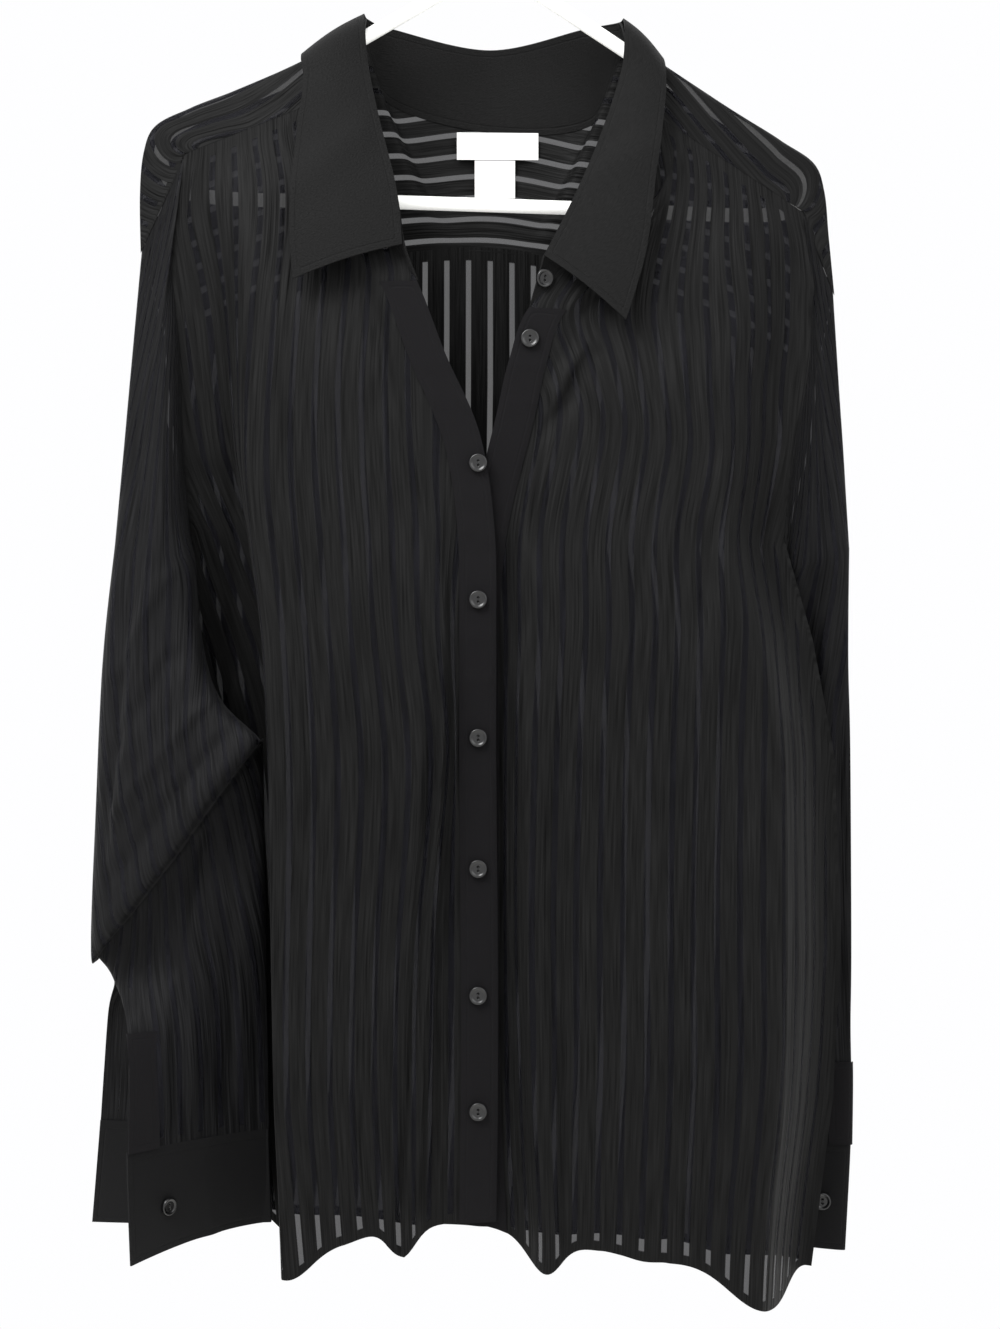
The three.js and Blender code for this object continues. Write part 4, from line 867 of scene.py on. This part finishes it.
def sleeve_point(sections, t, around, closed):
    """From the outer edge to the inner one by (1 - cos(2 pi around)) / 2 and back, y moved by the
    layer's bulge times |sin(2 pi around)| to the taper. Where it isn't closed the back ends apart."""
    row = rows_at(sections, t)
    on_front = around <= 0.5
    outer = np.where((on_front | closed)[..., None], row[..., 0:3], row[..., 3:6])
    point = lerp(outer, row[..., 6:9], (0.5 - 0.5 * np.cos(2 * np.pi * around))[..., None])
    swell = np.abs(np.sin(2 * np.pi * around)) ** row[..., 11]
    bulge = np.where(on_front, row[..., 9], row[..., 10]) * swell
    return point + stacked(0 * bulge, bulge, 0 * bulge)


def armhole_ring(hole):
    """Twenty-one points round the armhole, from the shoulder point forward and round to it, kept a
    wall's width in from the yoke's end and out from the edges of the front and the back."""
    around = np.linspace(0, 1, 21)
    sign, clear = hole["sign"], CLOTH + SEAM
    end = 0.0 if sign < 0 else 1.0
    on_edge = 0.5 - ON_YOKE
    outwards = np.array([sign * clear, 0, 0])

    def corner(down, inward):
        away = unit(stacked(inward, 0 * inward, -0.5 + 0 * inward))
        return yoke_point(np.full_like(down, end), down) + away * clear

    share = around / ON_YOKE
    fore = corner(RIDGE_AT * (1 - share * 0.9), -sign * smooth(share * 2))
    front = along_seam(hole["front"], lerp(0.03, 1, (around - ON_YOKE) / on_edge)) + outwards
    behind = along_seam(hole["back"], 1 - (around - 0.5) / on_edge) + outwards
    behind = behind + np.array([0, BEHIND_SEAM, 0])
    share = (around - (1 - ON_YOKE)) / ON_YOKE
    aft = corner(lerp(1, RIDGE_AT, share), sign * smooth(2 - 2 * share))
    limits = (ON_YOKE, 0.5, 1 - ON_YOKE)
    picks = [around[:, None] < limit - 0.0001 for limit in limits]
    return np.select(picks, [fore, front, behind], aft)


def sleeve_grid(hole, sections, below, joined):
    """The cap goes straight from the armhole's ring to the first section; below it the sections."""
    shape = (CAP_ROWS + below + 1, SLEEVE_COLUMNS + 1)
    around = np.broadcast_to(np.linspace(0, 1, SLEEVE_COLUMNS + 1), shape)
    row = np.arange(CAP_ROWS + below + 1)[:, None] + 0 * around
    t = np.clip((row - CAP_ROWS) / below * (len(sections) - 1), 0, None)
    points = sleeve_point(sections, t, around, row <= joined)
    ring = rows_at(armhole_ring(hole), around[:CAP_ROWS] * 20)
    points[:CAP_ROWS] = lerp(ring, points[CAP_ROWS], (row[:CAP_ROWS] / CAP_ROWS)[..., None])
    return around, points


def sleeve_piece(name, hole, tube, slit, creases, below):
    """A sleeve with its creases on the layer that shows, u round it from the middle of that layer."""
    sections = tube + slit[:2]
    joined = CAP_ROWS + round((len(tube) - 1) / (len(sections) - 1) * below)
    around, points = sleeve_grid(hole, sections, below, joined)
    side = -hole["sign"]
    layer = smooth(np.abs(np.sin(2 * np.pi * around)) * 3)
    out = crease_at(creases, points[..., 0], points[..., 2]) * layer
    points = points - normals(points, joined) * (side * out)[..., None]
    points[: joined + 1, -1] = points[: joined + 1, 0]
    across, down = arc(points, 1), arc(points, 0)
    middle = across[:, SLEEVE_COLUMNS // 4][:, None]
    uv = stacked(even_down(across - middle, 10), down[-1:] - down)
    edge = edge_distance(points, first=False, last=False)
    to_slit = np.minimum(across, across[:, -1:] - across) / 2
    edge[joined + 1 :] = np.minimum(edge, to_slit)[joined + 1 :]
    points = lapped(points, top=4)
    piece = shell(name, sleeve_cloth, points, THIN, side, uv, edge, joined)


sleeve_piece("sleeve_right", hole_right, SLEEVE_RIGHT, SLIT_RIGHT, CREASES_SLEEVE_RIGHT, 126)
sleeve_piece("sleeve_left", hole_left, SLEEVE_LEFT, SLIT_LEFT, CREASES_SLEEVE_LEFT, 108)


# SLEEVE PLACKETS
# The narrow bands along each slit's front edge, of the same cloth folded, laid on the sleeve.
# Each is the sleeve's own surface next to the slit, moved out to lie on it.


def sleeve_placket(name, tube, slit, side, first_t):
    """The first three twentieths round the sleeve, down from the section first_t."""
    sections = tube + slit[:2]
    down = np.linspace(first_t, len(sections) - 1, 40)
    t, around = np.meshgrid(down, np.linspace(0, 0.15, 19), indexing="ij")
    points = sleeve_point(sections, t, around, np.zeros_like(t, bool))
    points = points - normals(points) * side * 1.1
    strip(name, band_cloth, points, BAND_WALL, side)


sleeve_placket("sleeve_placket_right", SLEEVE_RIGHT, SLIT_RIGHT, 1, 6)
sleeve_placket("sleeve_placket_left", SLEEVE_LEFT, SLIT_LEFT, -1, 4 + 2 / 3)


# CUFFS
# Lined bands of the cloth on the sleeves' ends, stitched round; the right one hangs open.
# Each goes on from its sleeve's last section, with a few soft dents.

cuff_cloth = doubled_cloth("lined cuff cloth", "#131314", 0.0013, 0.05)
CREASES_CUFF_RIGHT = [
    (-176, -780, -180, -830, -172, -900, 1.6, 9, 5),
    (-202, -790, -206, -840, -204, -890, -1.0, 6, 6),
]
CREASES_CUFF_LEFT = [(196, -800, 192, -840, 196, -900, 1.2, 8, 5)]


def cuff_point(slit, t, around):
    """The slit's section, a seam's width lower."""
    return sleeve_point(slit, t, around, np.zeros_like(t, bool)) - np.array([0, 0, SEAM])


def cuff_piece(name, slit, side, creases):
    """A cuff over the table's last two sections."""
    t, around = np.meshgrid(np.linspace(1, 2, 31), np.linspace(0, 1, 121), indexing="ij")
    points = cuff_point(slit, t, around)
    out = crease_at(creases, points[..., 0], points[..., 2]) * smooth((around - 0.2) * 12)
    points = points - normals(points) * (side * out)[..., None]
    strip(name, cuff_cloth, points, CLOTH, side, 1.5)


cuff_piece("cuff_right", SLIT_RIGHT, 1, CREASES_CUFF_RIGHT)
cuff_piece("cuff_left", SLIT_LEFT, -1, CREASES_CUFF_LEFT)


# COLLAR
# The pointed fall and the stand it turns down from: plain close cloth, lined and stitched round.
# The fall goes from the roll to the outer edge with a slight bow, the stand from neck to roll.

BAND = 1.6
FALL_BOW = 3
collar_cloth = doubled_cloth("lined collar cloth", "#121212", 0.0009, 1.4)

# share across and down at the crease's two ends, how far it stands out, its reach
FALL_WRINKLES = [
    (0.40, 0.0, 0.47, 0.9, 2.2, 0.014),
    (0.45, 0.1, 0.53, 1.0, -2.2, 0.012),
    (0.52, 0.0, 0.58, 0.9, 2.0, 0.014),
    (0.57, 0.1, 0.62, 1.0, -1.8, 0.012),
    (0.36, 0.1, 0.40, 1.0, -2.0, 0.012),
    (0.12, 0.0, 0.10, 0.7, 1.8, 0.020),
    (0.90, 0.1, 0.86, 0.9, 2.0, 0.020),
]


def fall_point(across, down):
    """Straight from the roll to the outer edge, moved out by the bow times sin(pi down)."""
    row = rows_at(COLLAR, across * LAST_STATION)
    bow = FALL_BOW * np.sin(np.pi * down)
    away = stacked(0 * bow, np.where(row[..., 4] < 10, -bow, bow), bow / 2)
    return lerp(row[..., 3:6], row[..., 6:9], down[..., None]) + away


fall_across, fall_down = np.meshgrid(np.linspace(0, 1, 241), np.linspace(0, 1, 25))
fall_points = fall_point(fall_across, fall_down)
fall_out = np.zeros_like(fall_across)
for across0, down0, across1, down1, stands, reach in FALL_WRINKLES:
    centre = lerp(across0, across1, (fall_down - down0) / (down1 - down0))
    fall_out += stands * np.exp(-(((fall_across - centre) / reach) ** 2))
fall_points += normals(fall_points) * (fall_out * smooth(fall_down * 4))[..., None]
strip("collar_fall", collar_cloth, fall_points, CLOTH, -1)


def stand_point(across, up):
    """Straight from just below the neck seam, which it laps, to the inside of the roll."""
    station = across * LAST_STATION
    share = (station - RIGHT_NECK_POINT) / (LEFT_NECK_POINT - RIGHT_NECK_POINT)
    on_yoke = ((share > 0) & (share < 1))[..., None]
    yoke_seam = yoke_point(lerp(SHOULDER, 1 - SHOULDER, share), 0 * share)
    seam = np.where(on_yoke, yoke_seam, neck_seam(station))
    level = np.zeros_like(across)
    roll = fall_point(across, level)
    after, before = np.minimum(across + 0.01, 1), np.maximum(across - 0.01, 0)
    along = fall_point(after, level) - fall_point(before, level)
    inside = np.cross(along, fall_point(across, level + 1 / 3) - roll)
    top = roll - unit(inside) * (BAND + 1.4)
    low = -1.2 / np.linalg.norm(top - seam, axis=-1)
    return lerp(seam, top, lerp(low, 1, up)[..., None])


stand_across, stand_down = np.meshgrid(np.linspace(0, 1, 241), np.linspace(0, 1, 17))
stand_points = stand_point(stand_across, 1 - stand_down)
strip("collar_stand", collar_cloth, stand_points, CLOTH, -1)


# LABELS
# Two bare white satin labels sewn inside the yoke below the neck seam.
# Flat thin strips on the yoke's inner face, the smaller hanging below the larger.


def satin(name):
    """Bright woven ribbon: a white that shines softly in fine lines across."""
    ribbon = {"Base Color": colour("#f4f4f2"), "Roughness": 0.45}
    material, tree, shader = new_material(name, ribbon)
    lines = fine_lines(tree, node(tree, "UVMap", {"uv_map": "cloth"}), 0.0004, 0.05)
    ridge = node(tree, "Bump", {"Strength": 0.3, "Distance": 0.0002}, Height=lines)
    set_up(tree, shader, Normal=ridge)
    return material


label_satin = satin("white label satin")


def yoke_inside(x, z):
    """The yoke's inner face at x and z, found by stepping across and down it."""
    across, down = np.full_like(x, 0.5), np.zeros_like(x)
    for _ in range(6):
        point = yoke_point(across, down)
        across = across + (x - point[..., 0]) / (YOKE_RIDGE_LEFT[0][0] - YOKE_RIDGE_RIGHT[0][0])
        height = yoke_point(across, 0 * down)[..., 2] - yoke_point(across, 0 * down + 1)[..., 2]
        down = down + (point[..., 2] - z) / height
    return stacked(x, yoke_point(across, down)[..., 1] - CLOTH - 0.8, z)


# where the two labels together begin and end
LABELS_X0, LABELS_X1 = -21.5, 31
LABELS_TOP, LABELS_BOTTOM = -161.5, -204


def label_piece(name, x0, x1, top, bottom):
    """A flat strip between the yoke's points at the labels' four outer corners."""
    x, z = np.meshgrid(np.linspace(x0, x1, 27), np.linspace(top, bottom, 19))
    heights = np.array([LABELS_TOP, LABELS_TOP, LABELS_BOTTOM, LABELS_BOTTOM])
    corners = yoke_inside(np.array([LABELS_X0, LABELS_X1] * 2), heights)
    across = ((x - LABELS_X0) / (LABELS_X1 - LABELS_X0))[..., None]
    down = ((z - LABELS_TOP) / (LABELS_BOTTOM - LABELS_TOP))[..., None]
    upper, lower = lerp(corners[0], corners[1], across), lerp(corners[2], corners[3], across)
    points = lerp(upper, lower, down)
    strip(name, label_satin, points, THIN, -1)


label_piece("label_main", LABELS_X0, LABELS_X1, LABELS_TOP, -179)
label_piece("label_size", -10, 16, -179.5, LABELS_BOTTOM)


# BUTTONS
# Ten dark two-hole buttons: one on the stand, seven down the front, one on each cuff.
# Each is a turned disc with a raised rim, pressed in at two holes, with its thread across them.

HOLE_AT = 1.2  # from the button's axis to each hole
# the button's radius and height, from the middle of its back face round to that of its front
BUTTON_PROFILE = [
    (0, 0), (5.1, 0), (5.7, 0.8), (5.55, 1.9), (5.2, 2.35), (4.7, 2.4), (4.1, 2.2), (3.4, 1.75),
    (0, 1.65),
]


def shiny(name, code, roughness, painted_glow=0.0):
    """Moulded plastic: a clean sharp highlight on its rims and bends. A faint emission, where it has one,
    is painted light: it stands in for the light that the dark cloth keeps off the part, so that it shows
    through sheer cloth."""
    plastic = {"Base Color": colour(code), "Roughness": roughness, "Coat Weight": 0.3}
    if painted_glow:
        plastic |= {"Emission Color": colour(code), "Emission Strength": painted_glow}
    return new_material(name, plastic)[0]


button_plastic = shiny("dark button plastic", "#0b0b0c", 0.3)


def ring_cap(ring):
    """Quads across a closed ring with an even count of corners."""
    k = np.arange(len(ring) // 2 - 1)
    return stacked(ring[k], ring[k + 1], ring[-2 - k], ring[-1 - k])


def button_mesh():
    """A lathe of the profile, with pits at y = ±HOLE_AT, and one strand of thread over them.
    Returns points with the button's axis along +Z and its back face on 0."""
    outline = np.array(BUTTON_PROFILE, float)
    length = np.insert(np.cumsum(np.linalg.norm(np.diff(outline, axis=0), axis=1)), 0, 0)
    at = np.concatenate([np.linspace(0, length[-2], 26), np.linspace(length[-2], length[-1], 22)[1:]])
    r, z = np.interp(at, length, outline[:, 0]), np.interp(at, length, outline[:, 1])
    sides = 64
    turn = 2 * np.pi * np.arange(sides) / sides
    x, y = r[:, None] * np.cos(turn), r[:, None] * np.sin(turn)
    near_hole = np.minimum(np.hypot(x, y - HOLE_AT), np.hypot(x, y + HOLE_AT))
    pit = 1.3 * smooth((0.85 - near_hole) / 0.35) * (z[:, None] > 1.5)
    verts = stacked(x, y, z[:, None] - pit)
    rings = len(at)
    index = np.arange(rings * sides).reshape(rings, sides)
    index[0], index[-1] = index[0, 0], index[-1, 0]
    after = np.roll(index, -1, axis=1)
    faces = stacked(index[:-1], index[1:], after[1:], after[:-1]).reshape(-1, 4)[:, ::-1]
    steps, round_ = 13, 10
    s = np.linspace(-1, 1, steps)
    spine = stacked(0 * s, HOLE_AT * s, 1.75 - 0.9 * s**4)
    girth = 2 * np.pi * np.arange(round_) / round_
    ring = stacked(0.33 * np.cos(girth), 0 * girth, 0.33 * np.sin(girth))
    thread = (spine[:, None] + ring[None]).reshape(-1, 3)
    k = np.arange(steps * round_).reshape(steps, round_) + verts.size // 3
    k_after = np.roll(k, -1, axis=1)
    strand = stacked(k[:-1], k[1:], k_after[1:], k_after[:-1]).reshape(-1, 4)
    faces = np.concatenate([faces, strand, ring_cap(k[0]), ring_cap(k[-1])[:, ::-1]])
    used, faces = np.unique(faces, return_inverse=True)
    return np.concatenate([verts.reshape(-1, 3), thread])[used], faces.reshape(-1, 4)


button_verts, button_faces = button_mesh()


def button(name, at, towards):
    """A button whose back face is 0.6 mm out from a point, its axis along a direction and its two
    holes one above the other."""
    towards = unit(towards)
    up = unit(np.array([0, 0, 1.0]) - towards * towards[2])
    axes = np.stack([np.cross(up, towards), up, towards])
    verts = button_verts @ axes + at + towards * 0.6
    place(name, button_plastic, verts, button_faces, sharp=60)


def facing(surface, u, v):
    """The direction out of a surface at u and v, on the side where y is less."""
    u, v, near = np.array([u]), np.array([v]), 0.01
    along_u = surface(u + near, v) - surface(u - near, v)
    along_v = surface(u, v + near) - surface(u, v - near)
    out = np.cross(along_u, along_v)[0]
    return out if out[1] < 0 else -out


def sewn_on(name, surface, u, v):
    """A button on a surface at u and v, facing out of it."""
    button(name, surface(np.array([u]), np.array([v]))[0], facing(surface, u, v))


def on_placket(front, x, z):
    """The point of a front's placket at x and z, found by stepping down its sections."""
    t, x = np.array([2.0]), np.array([float(x)])
    for _ in range(20):
        t = t + (front_point(front, t, x)[..., 2] - z) / 90
    return front_point(front, t, x)[0] - np.array([0, LAID, 0])


forward = np.array([0.0, -1.0, 0.0])
button("button_front_1", on_placket(left, 24.5, -306), forward)
for k, height in enumerate([-382, -465, -549, -628.5, -705.5, -776]):
    button(f"button_front_{k + 2}", on_placket(right, -7, height), forward)
sewn_on("button_stand", stand_point, 0.987, 0.4)
sewn_on("button_cuff_right", lambda t, around: cuff_point(SLIT_RIGHT, t, around), 1.5, 0.164)
sewn_on("button_cuff_left", lambda t, around: cuff_point(SLIT_LEFT, t, around), 1.5, 0.164)


# HANGER
# A white plastic tube bent to a closed loop with a bar, with the hook's stem growing from its top.
# Two smooth round tubes: the loop, and the stem with its hook and a rounded end.

TUBE_RADIUS = 4.3
HOOK_RADIUS = 22
STEM = [(0, -66), (1, -56), (9, -43)]


def tube_rings(path, radius, sides=28):
    """Rings of the radius round each point of a path in the plane y = 0."""
    tangent = unit(np.gradient(path, axis=0))
    across = stacked(tangent[:, 1], 0 * tangent[:, 0], -tangent[:, 0])
    turn = 2 * np.pi * np.arange(sides) / sides
    centre = stacked(path[:, 0], 0 * path[:, 0], path[:, 1])
    out = across[:, None] * np.cos(turn)[:, None] + np.array([0, 1.0, 0]) * np.sin(turn)[:, None]
    return centre[:, None] + out * np.broadcast_to(radius, len(path))[:, None, None]


def tube_faces(rings, closed, first):
    """Quads between the rings, round the tube, their vertices counted from first, and a cap on each
    end of a tube that isn't closed."""
    index = np.arange(rings.shape[0] * rings.shape[1]).reshape(rings.shape[:2]) + first
    below = np.roll(index, -1, axis=0) if closed else index[1:]
    above = index if closed else index[:-1]
    after, after_below = np.roll(above, -1, axis=1), np.roll(below, -1, axis=1)
    faces = stacked(above, after, after_below, below).reshape(-1, 4)
    if closed:
        return faces
    return np.concatenate([faces, ring_cap(index[0])[:, ::-1], ring_cap(index[-1])])


loop_path = curve_points(HANGER_LOOP, np.linspace(0, 20, 361)[:-1], True)
ends = np.concatenate([loop_path[-1:], loop_path, loop_path[:1]])
loop_rings = tube_rings(ends, TUBE_RADIUS)[1:-1]
hook_turn = np.radians(np.arange(-55, 216, 27))
hook = HOOK_RADIUS * stacked(np.cos(hook_turn), np.sin(hook_turn))
hook += [0, TUBE_RADIUS - HOOK_RADIUS]
stem_points = np.concatenate([np.array(STEM, float), hook])
stem_path = curve_points(stem_points, np.linspace(0, len(stem_points) - 1, 161), False)
stem_radius = np.full(len(stem_path), TUBE_RADIUS)
beyond = unit(stem_path[-1] - stem_path[-2])
cap = np.linspace(0, np.pi / 2, 8)[1:]
stem_path = np.concatenate([stem_path, stem_path[-1] + beyond * (1.2 * np.sin(cap))[:, None]])
stem_radius = np.concatenate([stem_radius, TUBE_RADIUS * np.cos(cap * 0.98)])
stem_rings = tube_rings(stem_path, stem_radius)
hanger_verts = np.concatenate([loop_rings.reshape(-1, 3), stem_rings.reshape(-1, 3)])
loop_faces = tube_faces(loop_rings, True, 0)
stem_faces = tube_faces(stem_rings, False, loop_rings.size // 3)
# the hanger's faint emission is painted light, standing in for light the shirt's shade keeps off it
white_tube = shiny("white hanger plastic", "#f2f2ef", 0.35, 0.45)
hanger_faces = np.concatenate([loop_faces, stem_faces])
place("hanger", white_tube, hanger_verts, hanger_faces)


# STAGE
# A pale floor below the shirt and an even white surround, with soft lamps from above on both sides
# of the front, so that the dark cloth keeps its shape.

FLOOR_Z = -1.5
floor_corners = [(-3, -3, FLOOR_Z), (3, -3, FLOOR_Z), (3, 1.5, FLOOR_Z), (-3, 1.5, FLOOR_Z)]
floor_mesh = bpy.data.meshes.new("floor")
floor_mesh.from_pydata(floor_corners, [], [(0, 1, 2, 3)])
paint = {"Base Color": colour("#efeeea"), "Roughness": 0.95}
floor_mesh.materials.append(new_material("pale floor paint", paint)[0])
link("floor", floor_mesh)


def lamp(name, at, aim, size, power):
    """A square area light at a point, facing another."""
    data = bpy.data.lights.new(name, "AREA")
    data.size, data.energy = size, power
    light = link(name, data)
    light.location = at
    away = unit(np.array(at) - np.array(aim))
    light.rotation_euler = (math.acos(away[2]), 0, math.atan2(away[0], -away[1]))


lamp("key", (-0.8, -1.1, 0.9), (0, 0, 0), 1.0, 36)
lamp("fill", (1.4, -1.6, 0.6), (0, 0, -0.3), 1.6, 13)
world = bpy.data.worlds.new("surround")
bpy.context.scene.world = world
world.use_nodes = True
surround = world.node_tree.nodes["Background"]
surround.inputs["Color"].default_value = colour("#fefeff")
surround.inputs["Strength"].default_value = 1.0

# the camera sees the photograph's rows at their size in the hanger's plane
PHOTO_ROWS = 1329
MM_PER_PIXEL = 0.627
CAMERA_DISTANCE = 1300
camera_data = bpy.data.cameras.new("camera")
camera_data.sensor_fit = "VERTICAL"
camera_data.sensor_height = 24
camera_data.lens = 12 / (PHOTO_ROWS * MM_PER_PIXEL / 2 / CAMERA_DISTANCE)
camera = link("camera", camera_data)
camera.location = (0.0063, -CAMERA_DISTANCE / 1000, -0.5044)
camera.rotation_euler = (math.pi / 2, 0, 0)
bpy.context.scene.camera = camera
bpy.context.scene.view_settings.view_transform = "Standard"
